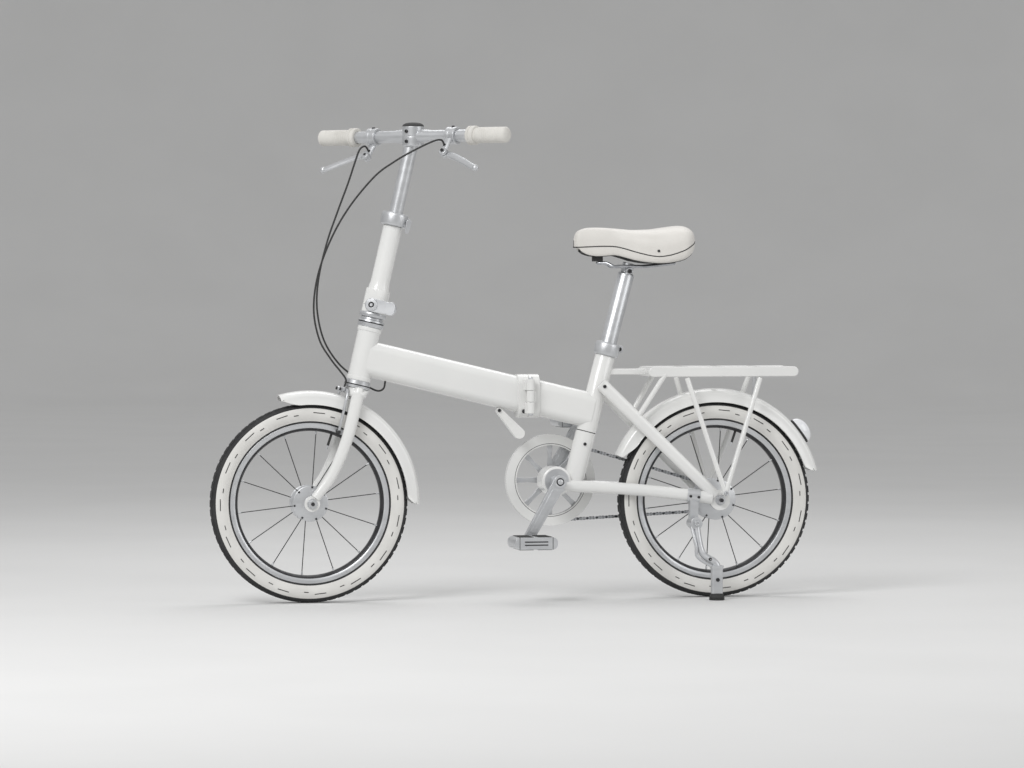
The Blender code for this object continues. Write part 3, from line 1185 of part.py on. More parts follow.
def frame_latch(parent):
    """Latch lever hanging below the main tube beside the hinge."""
    along = Vector((math.cos(FRAME_LATCH_ANGLE), 0.0, -math.sin(FRAME_LATCH_ANGLE)))
    outline = link_outline(FRAME_LATCH_LENGTH, FRAME_LATCH_THICKNESS / 2, FRAME_LATCH_THICKNESS / 2.2)
    lever = plate([outline], FRAME_LATCH_WIDTH, in_plane(frame_latch_pivot(), along, ACROSS))
    part(lever, "frame_latch_lever", SILVER, parent)


# Bends of the cables between their seats: station, distance ahead and across the steering axis
FRONT_CABLE_BENDS = ((0.962, -0.025, -0.132), (0.928, 0.016, -0.118), (0.891, 0.054, -0.104),
                     (0.846, 0.090, -0.088), (0.760, 0.131, -0.066), (0.672, 0.156, -0.048),
                     (0.575, 0.167, -0.034), (0.485, 0.157, -0.026), (0.413, 0.125, -0.022),
                     (0.371, 0.085, -0.021), (0.347, 0.055, -0.021))
REAR_CABLE_BENDS = ((0.913, 0.118, 0.058), (0.881, 0.124, 0.049), (0.822, 0.131, 0.041),
                    (0.745, 0.142, 0.036), (0.661, 0.152, 0.032), (0.568, 0.153, 0.030),
                    (0.489, 0.139, 0.032), (0.416, 0.103, 0.040), (0.366, 0.051, 0.048),
                    (0.339, -0.003, 0.049), (0.324, -0.037, 0.036), (0.319, -0.059, 0.014))


def lever_end(out):
    """Seat of a cable on the arm of its lever clamp, and where the cable has left it."""
    ahead = lever_axis(BAR_LEFT)
    arm = lever_clamp_centre(out).lerp(lever_pivot(out), 0.7) + (LEVER_DEPTH + FIT) * lever_axis(out)
    seat = arm + (LEVER_DEPTH / 2 + FIT) * ahead
    return [seat, seat + CABLE_LEAD * ahead]


def cable(name, start, bends, end, parent):
    """Brake cable, whole, from its lever to its far seat."""
    run = smooth_run([*start, *(steering(*bend) for bend in bends), *end], 43)
    part(bent_tube(run, CABLE_RADIUS), name, BLACK_RUBBER, parent)


def cables(parent):
    """Front cable to the brake's arm, and rear cable to its stop under the main tube."""
    arm = steering(CROWN_STATION + BRAKE_ARM_THICKNESS / 4, brake_arm_ahead(1), -1.7 * BRAKE_ARM_WIDTH)
    brake_seat = arm + BRAKE_ARM_THICKNESS / 2 * STEER_UP
    brake_end = [brake_seat + CABLE_LEAD * STEER_UP, brake_seat]
    cable("front_brake_cable", lever_end(BAR_LEFT), FRONT_CABLE_BENDS, brake_end, parent)
    stop = MAIN_START + CABLE_STOP * MAIN_AXIS - (MAIN_TUBE_HEIGHT / 2 + FIT) * MAIN_UP
    stop_end = [stop - CABLE_LEAD * MAIN_UP, stop]
    cable("rear_brake_cable", lever_end(-BAR_LEFT), REAR_CABLE_BENDS, stop_end, parent)


def front_guard_bracket():
    """Post between the fork's crown and the front mudguard."""
    reach = math.sqrt(MUDGUARD_RADIUS ** 2 - FORK_RAKE ** 2)
    crown_face = steering(CROWN_TOP - CROWN_HEIGHT - FIT)
    return rod(steering(reach - RUNNING), crown_face, CROWN_HEIGHT / 4, sides=10)


def rear_guard_bracket():
    """Post between the rear mudguard and a crossbar of the rack."""
    x = rack_bar_x(RACK_CROSSBARS - 2)
    z = REAR_AXLE.z + math.sqrt(MUDGUARD_RADIUS ** 2 - (x - REAR_AXLE.x) ** 2)
    foot, head = Vector((x, 0.0, z - 2 * RUNNING)), Vector((x, 0.0, rack_underside() - FIT))
    return rod(foot, head, RACK_BAR / 2, sides=10)


def build():
    """Model every piece and hang it from the joint that carries it."""
    for obj in list(bpy.data.objects):
        bpy.data.objects.remove(obj)
    bpy.context.scene.collection.children.link(PARTS)
    bpy.context.scene.collection.children.link(CUTTERS)

    root = joint("rear_frame_body", Vector((0.0, 0.0, 0.0)))
    folding = joint("frame_fold_axis", HINGE_PIN, root)
    steer = joint("steering_axis", steering(CROWN_TOP), folding)
    post = joint("handlepost_fold_axis", POST_PIN, steer)
    slide = joint("handlepost_slide_axis", steering(POST_TUBE_TOP), post)
    turn = joint("handlebar_turn_axis", BAR_CENTRE, slide)

    rear_frame(root)
    axle("rear_axle", REAR_AXLE, REAR_AXLE_LENGTH, DROPOUT_Y + DROPOUT_THICKNESS / 2 + FIT, root)
    mudguard("rear_mudguard", REAR_AXLE, REAR_GUARD_AHEAD, REAR_GUARD_BEHIND, rear_guard_bracket(), root)
    rack(root)
    rack_legs("left", -1, root)
    rack_legs("right", 1, root)
    tail_light(root)
    chain(root)
    kickstand(root, joint("kickstand_axis", stand_pivot(), root))
    wheel("rear", REAR_AXLE, REAR_FLANGE_RADIUS, joint("rear_wheel_axis", REAR_AXLE, root))
    sprocket(joint("rear_sprocket_axis", REAR_AXLE, root))
    cranks = joint("crank_axis", BRACKET, root)
    chainring(cranks)
    for name, way, angle in (("left", -1, CRANK_ANGLE), ("right", 1, CRANK_ANGLE + math.pi)):
        spindle = crank(name, way, angle, cranks)
        pedal(name, way, spindle, joint(name + "_pedal_axis", spindle, cranks))
    seat = joint("seatpost_slide_axis", seating(SEAT_TUBE_LENGTH), root)
    seatpost(seat)
    saddle(seat)

    front_frame(folding)
    frame_hinge(folding, root)
    frame_latch(joint("frame_latch_axis", frame_latch_pivot(), folding))
    fork(steer)
    fork_face = FORK_TIP_SPACING / 2 + FORK_TIP_THICKNESS / 2
    axle("front_axle", FRONT_AXLE, FRONT_AXLE_LENGTH, fork_face + FIT, steer)
    front_bracket = front_guard_bracket()
    mudguard("front_mudguard", FRONT_AXLE, FRONT_GUARD_AHEAD, FRONT_GUARD_BEHIND, front_bracket, steer)
    wheel("front", FRONT_AXLE, FRONT_FLANGE_RADIUS, joint("front_wheel_axis", FRONT_AXLE, steer))
    for index, (name, way) in enumerate((("left", -1), ("right", 1))):
        stud = steering(CROWN_STATION, brake_arm_ahead(index))
        brake_arm(name, way, index, joint(name + "_brake_arm_axis", stud, steer))
    post_hinge(steer, post)
    post_latch(joint("handlepost_latch_axis", post_latch_pivot(), post))
    upper_post(slide)
    handlebar(turn)
    for name, out in (("left", BAR_LEFT), ("right", -BAR_LEFT)):
        brake_lever(name, out, turn, joint(name + "_brake_lever_axis", lever_pivot(out), turn))
    cables(turn)


build()
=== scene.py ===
"""Looks of the folding bicycle: finishes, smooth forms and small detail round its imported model.

Metres, +Z up, ground at Z = 0. The bicycle faces -X and its left side faces -Y.
"""
import logging
import math
from dataclasses import dataclass
from enum import Enum
from typing import Callable, ClassVar, Sequence

import bmesh
import bpy
from mathutils import Matrix, Vector


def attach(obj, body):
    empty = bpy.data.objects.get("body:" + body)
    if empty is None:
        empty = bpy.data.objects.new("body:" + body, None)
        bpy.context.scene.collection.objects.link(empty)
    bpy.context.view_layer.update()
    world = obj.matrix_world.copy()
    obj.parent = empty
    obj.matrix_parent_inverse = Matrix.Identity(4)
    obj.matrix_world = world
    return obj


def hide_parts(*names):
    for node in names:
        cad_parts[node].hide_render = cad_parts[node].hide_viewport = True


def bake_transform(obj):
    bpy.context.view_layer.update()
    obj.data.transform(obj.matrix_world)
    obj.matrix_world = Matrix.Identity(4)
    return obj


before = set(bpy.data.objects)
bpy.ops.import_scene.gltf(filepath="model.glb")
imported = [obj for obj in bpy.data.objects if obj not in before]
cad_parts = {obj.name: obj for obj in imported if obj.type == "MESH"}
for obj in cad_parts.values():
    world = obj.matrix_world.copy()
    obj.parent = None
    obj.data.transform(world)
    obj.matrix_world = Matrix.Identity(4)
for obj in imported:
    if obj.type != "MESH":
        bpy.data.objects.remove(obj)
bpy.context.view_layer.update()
LOG = logging.getLogger("folding_bicycle")
Tree = bpy.types.NodeTree
Socket = bpy.types.NodeSocket

UP = Vector((0.0, 0.0, 1.0))
ACROSS = Vector((0.0, 1.0, 0.0))
ALONG = Vector((1.0, 0.0, 0.0))
SIDES = (("left", -1), ("right", 1))

# Clearance between pieces that meet
GAP = 0.0003
# Shared places of the bicycle, as in its solids
WHEEL_RADIUS = 0.254
MIDDLE_X = -0.0125
FRONT_AXLE = Vector((MIDDLE_X - 0.533, 0.0, WHEEL_RADIUS))
REAR_AXLE = Vector((MIDDLE_X + 0.533, 0.0, WHEEL_RADIUS))
HEAD_ANGLE = math.radians(13.0)
FORK_RAKE = 0.054
STEER_UP = Vector((math.sin(HEAD_ANGLE), 0.0, math.cos(HEAD_ANGLE)))
STEER_AHEAD = Vector((-math.cos(HEAD_ANGLE), 0.0, math.sin(HEAD_ANGLE)))
STEER_FOOT = FRONT_AXLE - FORK_RAKE * STEER_AHEAD
SEAT_LEAN = math.radians(14.7)
SEAT_UP = Vector((math.sin(SEAT_LEAN), 0.0, math.cos(SEAT_LEAN)))
SEAT_FOOT = Vector((0.153 + MIDDLE_X, 0.0, 0.28))
BRACKET = Vector((0.108 + MIDDLE_X, 0.0, 0.305))
TUBE_SLOPE = math.radians(13.4)
TUBE_AXIS = Vector((math.cos(TUBE_SLOPE), 0.0, -math.sin(TUBE_SLOPE)))
TUBE_UP = Vector((math.sin(TUBE_SLOPE), 0.0, math.cos(TUBE_SLOPE)))
BAR_TURN = math.radians(42.0)
BAR_LEFT = Vector((math.sin(BAR_TURN), -math.cos(BAR_TURN), 0.0))
BAR_AHEAD = Vector((-math.cos(BAR_TURN), -math.sin(BAR_TURN), 0.0))


def steering(station: float, ahead: float = 0.0, across: float = 0.0) -> Vector:
    """Point at a station of the steering axis, moved ahead of it and across it."""
    return STEER_FOOT + station * STEER_UP + ahead * STEER_AHEAD + across * ACROSS


def seating(station: float, across: float = 0.0) -> Vector:
    """Point at a station of the seat axis."""
    return SEAT_FOOT + station * SEAT_UP + across * ACROSS


TUBE_START = steering(0.395)
BAR_CENTRE = steering(0.974)


def frame_at(origin: Vector, direction: Vector, side: Vector = ACROSS) -> Matrix:
    """Matrix with local Z along a direction.

    Args:
        origin: place of the matrix.
        direction: where its local Z points.
        side: where its local Y roughly points.

    Returns:
        The 4x4 matrix.
    """
    z_axis = direction.normalized()
    if abs(z_axis.dot(side.normalized())) > 0.99:
        side = ALONG
    x_axis = side.cross(z_axis).normalized()
    matrix = Matrix((x_axis, z_axis.cross(x_axis), z_axis)).transposed().to_4x4()
    matrix.translation = origin
    return matrix


def in_plane(origin: Vector, along: Vector, normal: Vector) -> Matrix:
    """Matrix with local X along a direction and local Z along its plane's normal.

    Args:
        origin: place of the matrix.
        along: where its local X points.
        normal: where its local Z points.

    Returns:
        The 4x4 matrix.
    """
    z_axis = normal.normalized()
    y_axis = z_axis.cross(along).normalized()
    matrix = Matrix((y_axis.cross(z_axis), y_axis, z_axis)).transposed().to_4x4()
    matrix.translation = origin
    return matrix


def smooth_run(points: Sequence, count: int) -> list[Vector]:
    """Points at even steps of a smooth curve.

    Args:
        points: the few points that the curve goes through.
        count: how many points to return.

    Returns:
        The points of the curve, ends included.
    """
    places = [Vector(point) for point in points]
    places = [2 * places[0] - places[1], *places, 2 * places[-1] - places[-2]]
    spans = len(places) - 3
    run = []
    for step in range(count):
        along = step / (count - 1) * spans
        span = min(int(along), spans - 1)
        t = along - span
        before, start, end, after = places[span:span + 4]
        run.append(0.5 * (2 * start + (end - before) * t
                          + (2 * before - 5 * start + 4 * end - after) * t ** 2
                          + (3 * start - before - 3 * end + after) * t ** 3))
    return run


def feed(tree: Tree, socket: Socket, value: object) -> None:
    """Link a node's input to another socket, or set its value.

    Args:
        tree: tree of the node.
        socket: the input.
        value: a socket or a plain value.
    """
    if isinstance(value, Socket):
        tree.links.new(value, socket)
    else:
        socket.default_value = value


def wired(tree: Tree, kind: str, inputs: dict | None = None,
          **settings: object) -> bpy.types.Node:
    """New node with its settings and inputs.

    Args:
        tree: tree that gets the node.
        kind: the node's type.
        inputs: values or sockets for its inputs, by name or number.
        settings: its properties.

    Returns:
        The node.
    """
    node = tree.nodes.new(kind)
    for name, value in settings.items():
        setattr(node, name, value)
    for key, value in (inputs or {}).items():
        feed(tree, node.inputs[key], value)
    return node


class Grain(Enum):
    """How a finish breaks up its colour, gloss and surface."""

    PAINT = "paint"
    BRUSHED = "brushed"
    POLISHED = "polished"
    RUBBER = "rubber"
    LEATHER = "leather"
    PLASTIC = "plastic"
    LENS = "lens"


@dataclass(frozen=True)
class Finish:
    """One finish of the bicycle and the material that shows it."""

    name: str
    slot: str
    colour: tuple[float, float, float]
    shade: tuple[float, float, float]
    grain: Grain
    roughness: float
    scale: float
    bump: float
    metallic: float = 0.0
    coat: float = 0.0

    # Where the mottle's two colours stand, how far the gloss strays, and the depth of the relief
    STOPS: ClassVar = (0.32, 0.62)
    GLOSS_SPREAD: ClassVar = (0.8, 1.25)
    RELIEF_DEPTH: ClassVar = 0.0006
    COAT_ROUGHNESS: ClassVar = 0.08
    BRUSH_STRETCH: ClassVar = (1.0, 1.0, 4.0)
    CELLS: ClassVar = {Grain.LEATHER: 420.0, Grain.RUBBER: 700.0}
    SPECKS: ClassVar = {Grain.PAINT: 260.0, Grain.BRUSHED: 900.0, Grain.POLISHED: 300.0}
    OTHER_SPECKS: ClassVar = 500.0

    def material(self) -> bpy.types.Material:
        """Material of this finish, made once."""
        return bpy.data.materials.get(self.name) or self._build()

    def _build(self) -> bpy.types.Material:
        """Make the node tree: mottled colour, uneven gloss and fine relief.

        Returns:
            The new material.
        """
        material = bpy.data.materials.new(self.name)
        material.use_nodes = True
        tree = material.node_tree
        stretch = self.BRUSH_STRETCH if self.grain is Grain.BRUSHED else (1.0, 1.0, 1.0)
        spread = wired(tree, "ShaderNodeMapping", {"Vector": wired(tree, "ShaderNodeTexCoord").outputs["Object"],
                                                   "Scale": stretch}).outputs["Vector"]
        broad = self._noise(tree, spread, self.scale, 3.0)
        ramp = wired(tree, "ShaderNodeValToRGB", {"Fac": broad})
        for stop, place, colour in zip(ramp.color_ramp.elements, self.STOPS, (self.shade, self.colour)):
            stop.position, stop.color = place, (*colour, 1.0)
        least, most = self.GLOSS_SPREAD
        gloss = wired(tree, "ShaderNodeMapRange", {"Value": broad, "To Min": self.roughness * least,
                                                   "To Max": min(1.0, self.roughness * most)})
        relief = wired(tree, "ShaderNodeBump", {"Strength": self.bump, "Distance": self.RELIEF_DEPTH,
                                                "Height": self._relief_height(tree, spread)})
        for name, value in (("Metallic", self.metallic), ("Coat Weight", self.coat),
                            ("Coat Roughness", self.COAT_ROUGHNESS), ("Base Color", ramp.outputs["Color"]),
                            ("Roughness", gloss.outputs["Result"]), ("Normal", relief.outputs["Normal"])):
            feed(tree, tree.nodes["Principled BSDF"].inputs[name], value)
        return material

    def _relief_height(self, tree: Tree, spread: Socket) -> Socket:
        """Height pattern of the surface: cells for some grains, fine noise for the rest.

        Args:
            tree: tree of the material.
            spread: coordinates of the pattern.

        Returns:
            The socket that gives the height.
        """
        if self.grain in self.CELLS:
            inputs = {"Scale": self.CELLS[self.grain], "Vector": spread}
            return wired(tree, "ShaderNodeTexVoronoi", inputs).outputs["Distance"]
        return self._noise(tree, spread, self.SPECKS.get(self.grain, self.OTHER_SPECKS), 2.0)

    @staticmethod
    def _noise(tree: Tree, spread: Socket, scale: float,
               detail: float) -> Socket:
        """Noise on the object's own coordinates."""
        inputs = {"Scale": scale, "Detail": detail, "Vector": spread}
        return wired(tree, "ShaderNodeTexNoise", inputs).outputs["Fac"]


WHITE_PAINT = Finish("white_gloss_paint", "white_paint", (0.78, 0.78, 0.765), (0.74, 0.742, 0.732),
                     Grain.PAINT, 0.24, 5.0, 0.03, coat=0.5)
SILVER = Finish("satin_silver", "silver", (0.63, 0.64, 0.655), (0.57, 0.58, 0.595),
                Grain.BRUSHED, 0.36, 11.0, 0.05, metallic=0.75)
STEEL = Finish("bright_steel", "steel", (0.52, 0.53, 0.55), (0.38, 0.39, 0.41),
               Grain.POLISHED, 0.3, 40.0, 0.05, metallic=0.9)
DARK_STEEL = Finish("black_steel", "steel", (0.055, 0.055, 0.058), (0.035, 0.035, 0.037),
                    Grain.POLISHED, 0.38, 40.0, 0.05, metallic=0.5)
TREAD = Finish("black_tread", "tyre_rubber", (0.036, 0.036, 0.037), (0.02, 0.02, 0.021),
               Grain.RUBBER, 0.82, 22.0, 0.3)
WHITEWALL = Finish("white_sidewall", "tyre_rubber", (0.72, 0.71, 0.685), (0.66, 0.65, 0.625),
                   Grain.RUBBER, 0.62, 14.0, 0.12)
BLACK_RUBBER = Finish("black_rubber", "black_rubber", (0.032, 0.032, 0.033), (0.018, 0.018, 0.019),
                      Grain.RUBBER, 0.7, 30.0, 0.25)
BLACK_PLASTIC = Finish("black_plastic", "black_plastic", (0.036, 0.036, 0.038), (0.024, 0.024, 0.026),
                       Grain.PLASTIC, 0.48, 30.0, 0.1)
PALE_RUBBER = Finish("pale_grip_rubber", "pale_rubber", (0.66, 0.645, 0.61), (0.58, 0.565, 0.53),
                     Grain.RUBBER, 0.66, 24.0, 0.25)
PALE_VINYL = Finish("pale_saddle_vinyl", "pale_vinyl", (0.72, 0.7, 0.665), (0.65, 0.63, 0.595),
                    Grain.LEATHER, 0.5, 9.0, 0.16)
LENS = Finish("clear_lamp_lens", "clear_lens", (0.86, 0.87, 0.88), (0.78, 0.79, 0.81),
              Grain.LENS, 0.14, 30.0, 0.04, coat=0.8)


class RepeatForm(Enum):
    """What a repeated detail looks like."""

    BLOCK = "block"
    ROD = "rod"
    STUD = "stud"


class Shape:
    """Mesh of one piece, put together from turned, swept and flat forms in one or more finishes."""

    def __init__(self, *finishes: Finish) -> None:
        """Start an empty mesh whose first finish is the one used where none is named."""
        self.finishes = list(finishes)
        self.mesh = bmesh.new()

    def _index(self, finish: Finish | None) -> int:
        """Material index of a finish, added where it is new.

        Args:
            finish: the finish, or none for the first one.

        Returns:
            The index.
        """
        finish = finish or self.finishes[0]
        if finish not in self.finishes:
            self.finishes.append(finish)
        return self.finishes.index(finish)

    def absorb(self, mesh: bpy.types.Mesh, finish: Finish | None = None, place: Matrix = Matrix(),
               banded: bool = False) -> "Shape":
        """Add a mesh.

        Args:
            mesh: the mesh, which is used up.
            finish: its finish.
            place: where it goes.
            banded: whether its faces have their finishes already.

        Returns:
            This shape.
        """
        mesh.transform(place)
        before = len(self.mesh.faces)
        self.mesh.from_mesh(mesh)
        bpy.data.meshes.remove(mesh)
        if not banded:
            self.mesh.faces.ensure_lookup_table()
            index = self._index(finish)
            for face in self.mesh.faces[before:]:
                face.material_index = index
        return self

    def _take(self, form: bmesh.types.BMesh, finish: Finish | None, place: Matrix = Matrix(),
              banded: bool = False) -> "Shape":
        """Add an edited form, its faces turned outwards.

        Args:
            form: the form, which is used up.
            finish: its finish.
            place: where it goes.
            banded: whether its faces have their finishes already.

        Returns:
            This shape.
        """
        bmesh.ops.recalc_face_normals(form, faces=form.faces)
        mesh = bpy.data.meshes.new("form")
        form.to_mesh(mesh)
        form.free()
        return self.absorb(mesh, finish, place, banded)

    def turned(self, profile: Sequence, place: Matrix, steps: int = 64, finish: Finish | None = None,
               closed: bool = False, bands: Sequence[Finish] = ()) -> "Shape":
        """Add a form turned about the place's local Z.

        Args:
            profile: (radius, height) points.
            place: matrix whose local Z is the axis.
            steps: how many steps make the turn.
            finish: finish of the whole form.
            closed: whether the profile's end joins its start.
            bands: a finish for each step of the profile, in place of one finish.

        Returns:
            This shape.
        """
        form = bmesh.new()
        rings = []
        for radius, height in profile:
            count = steps if radius > 1e-7 else 1
            rings.append([form.verts.new((radius * math.cos(i / steps * math.tau),
                                          radius * math.sin(i / steps * math.tau), height))
                          for i in range(count)])
        order = list(range(len(rings)))
        pairs = list(zip(order, order[1:] + order[:1] if closed else order[1:]))
        indices = [self._index(band) for band in bands] or [self._index(finish)]
        for step, (low, high) in enumerate(pairs):
            for i in range(steps):
                j = (i + 1) % steps
                near, far = rings[low], rings[high]
                corners = [near[i % len(near)], near[j % len(near)], far[j % len(far)], far[i % len(far)]]
                corners = list(dict.fromkeys(corners))
                if len(corners) > 2:
                    form.faces.new(corners).material_index = indices[step % len(indices)]
        return self._take(form, finish, place, banded=True)

    def rod(self, start: Vector, end: Vector, radius: float, end_radius: float | None = None,
            finish: Finish | None = None, steps: int = 32, crown: float = 0.0) -> "Shape":
        """Add a round bar.

        Args:
            start: middle of its first end.
            end: middle of its other end.
            radius: its radius.
            end_radius: its radius at the other end, where that differs.
            finish: its finish.
            steps: how many steps make the turn.
            crown: height of the dome on each end.

        Returns:
            This shape.
        """
        length = (end - start).length
        last = radius if end_radius is None else end_radius
        profile = [(0.0, -crown), (0.6 * radius, -0.75 * crown), (radius, 0.0), (last, length),
                   (0.6 * last, length + 0.75 * crown), (0.0, length + crown)]
        return self.turned(profile, frame_at(start, end - start), steps, finish)

    def swept(self, points: Sequence[Vector], radius: float | Callable[[float], float], sides: int = 16,
              finish: Finish | None = None, oval: float = 1.0, closed: bool = False,
              side: Vector = ACROSS) -> "Shape":
        """Add a tube along a run of points.

        Args:
            points: the tube's middle line.
            radius: its radius, or a function of the share of its length.
            sides: how many sides its section has.
            finish: its finish.
            oval: how much deeper than wide its section is.
            closed: whether the run is a loop.
            side: direction that its width lies near.

        Returns:
            This shape.
        """
        count, rings, normal = len(points), [], side
        for i, point in enumerate(points):
            before = points[i - 1] if i or closed else points[0]
            after = points[(i + 1) % count] if i + 1 < count or closed else points[-1]
            tangent = (after - before).normalized()
            normal = (normal - normal.dot(tangent) * tangent).normalized()
            depth = tangent.cross(normal)
            size = radius(i / (count - 1)) if callable(radius) else radius
            rings.append([point + size * (math.cos(a) * normal + oval * math.sin(a) * depth)
                          for a in (k / sides * math.tau for k in range(sides))])
        return self.loft(rings, finish, closed)

    def loft(self, rings: Sequence[Sequence[Vector]], finish: Finish | None = None,
             loop: bool = False) -> "Shape":
        """Add a skin over rings of points.

        Args:
            rings: the rings, each with as many points.
            finish: the skin's finish.
            loop: whether the last ring joins the first, in place of both being closed.

        Returns:
            This shape.
        """
        form = bmesh.new()
        rows = [[form.verts.new(point) for point in ring] for ring in rings]
        count = len(rows[0])
        for near, far in zip(rows, rows[1:] + rows[:1] if loop else rows[1:]):
            for i in range(count):
                j = (i + 1) % count
                form.faces.new((near[i], near[j], far[j], far[i]))
        if not loop:
            form.faces.new(rows[0])
            form.faces.new(rows[-1])
        return self._take(form, finish)

    def slab(self, outlines: Sequence[Sequence], thickness: float, place: Matrix,
             finish: Finish | None = None) -> "Shape":
        """Add a flat plate.

        Args:
            outlines: its edge, and any holes after that.
            thickness: its thickness.
            place: matrix of its middle, with local Z through the plate.
            finish: its finish.

        Returns:
            This shape.
        """
        form = bmesh.new()
        for outline in outlines:
            loop = [form.verts.new((*point, -thickness / 2)) for point in outline]
            for start, end in zip(loop, loop[1:] + loop[:1]):
                form.edges.new((start, end))
        bmesh.ops.triangle_fill(form, use_beauty=True, use_dissolve=True, edges=form.edges)
        grown = bmesh.ops.extrude_face_region(form, geom=form.faces[:])
        moved = [item for item in grown["geom"] if isinstance(item, bmesh.types.BMVert)]
        bmesh.ops.translate(form, verts=moved, vec=(0.0, 0.0, thickness))
        return self._take(form, finish, place)

    def block(self, size: Sequence[float], place: Matrix, finish: Finish | None = None) -> "Shape":
        """Add a block, which the piece's bevel rounds.

        Args:
            size: its length, width and height.
            place: matrix of its middle.
            finish: its finish.

        Returns:
            This shape.
        """
        form = bmesh.new()
        bmesh.ops.create_cube(form, size=1.0)
        bmesh.ops.scale(form, vec=Vector(size), verts=form.verts)
        return self._take(form, finish, place)

    def ringed(self, form: RepeatForm, finish: Finish, place: Matrix, **sizes: object) -> "Shape":
        """Add a small form repeated round the place's local Z, its sizes given by input name."""
        return self.absorb(Repeater.ring(form, finish, **sizes), finish, place)

    def threaded(self, points: Sequence[Vector], closed: bool, form: RepeatForm, finish: Finish,
                 **sizes: object) -> "Shape":
        """Add a small form repeated along a path, its sizes given by input name."""
        return self.absorb(Repeater.path(points, closed, form, finish, **sizes), finish)

    def bolt(self, seat: Vector, out: Vector, radius: float, finish: Finish | None = None) -> "Shape":
        """Add a domed socket bolt head.

        Args:
            seat: where it sits.
            out: where it points.
            radius: its radius.
            finish: its finish.

        Returns:
            This shape.
        """
        profile = [(0.0, 0.35 * radius), (0.5 * radius, 0.35 * radius), (0.5 * radius, 0.9 * radius),
                   (0.82 * radius, 0.9 * radius), (radius, 0.55 * radius), (radius, -0.3 * radius),
                   (0.0, -0.3 * radius)]
        return self.turned(profile, frame_at(seat, out), 24, finish)

    def piece(self, name: str, body: str, *nodes: str, bevel: float = 0.0007,
              smooth: float = 38.0) -> bpy.types.Object:
        """Make the object, set it on its body and let it stand for its solids.

        Args:
            name: name of the piece.
            body: body that carries it.
            nodes: solids that it stands for.
            bevel: width of its edge rounding.
            smooth: angle in degrees past which an edge stays sharp.

        Returns:
            The object.
        """
        obj = self.plain(name, smooth)
        if bevel:
            rounding = obj.modifiers.new("edge_rounding", "BEVEL")
            rounding.width = bevel
            rounding.segments = 2
            rounding.limit_method = "ANGLE"
            rounding.angle_limit = math.radians(smooth)
            rounding.harden_normals = True
        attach(obj, body)
        if nodes:
            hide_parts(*nodes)
        LOG.info("%s on %s", name, body)
        return obj

    def blended(self, name: str, upper: str, lower: str, start: Vector, end: Vector,
                *nodes: str) -> bpy.types.Object:
        """Make the object with its place baked into its mesh, and hide the solids that it stands for.

        Args:
            name: name of the piece.
            upper: not used.
            lower: not used.
            start: not used.
            end: not used.
            nodes: solids that it stands for.

        Returns:
            The object.
        """
        obj = self.plain(name, 60.0)
        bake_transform(obj)
        if nodes:
            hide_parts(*nodes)
        return obj

    def plain(self, name: str, smooth: float) -> bpy.types.Object:
        """Object of the finished mesh with its materials and smooth shading.

        Args:
            name: its name.
            smooth: angle in degrees past which an edge stays sharp.

        Returns:
            The object.
        """
        mesh = bpy.data.meshes.new(name)
        self.mesh.to_mesh(mesh)
        self.mesh.free()
        for finish in self.finishes:
            mesh.materials.append(finish.material())
        mesh.shade_smooth()
        mesh.set_sharp_from_angle(angle=math.radians(smooth))
        obj = bpy.data.objects.new(name, mesh)
        bpy.context.scene.collection.objects.link(obj)
        return obj


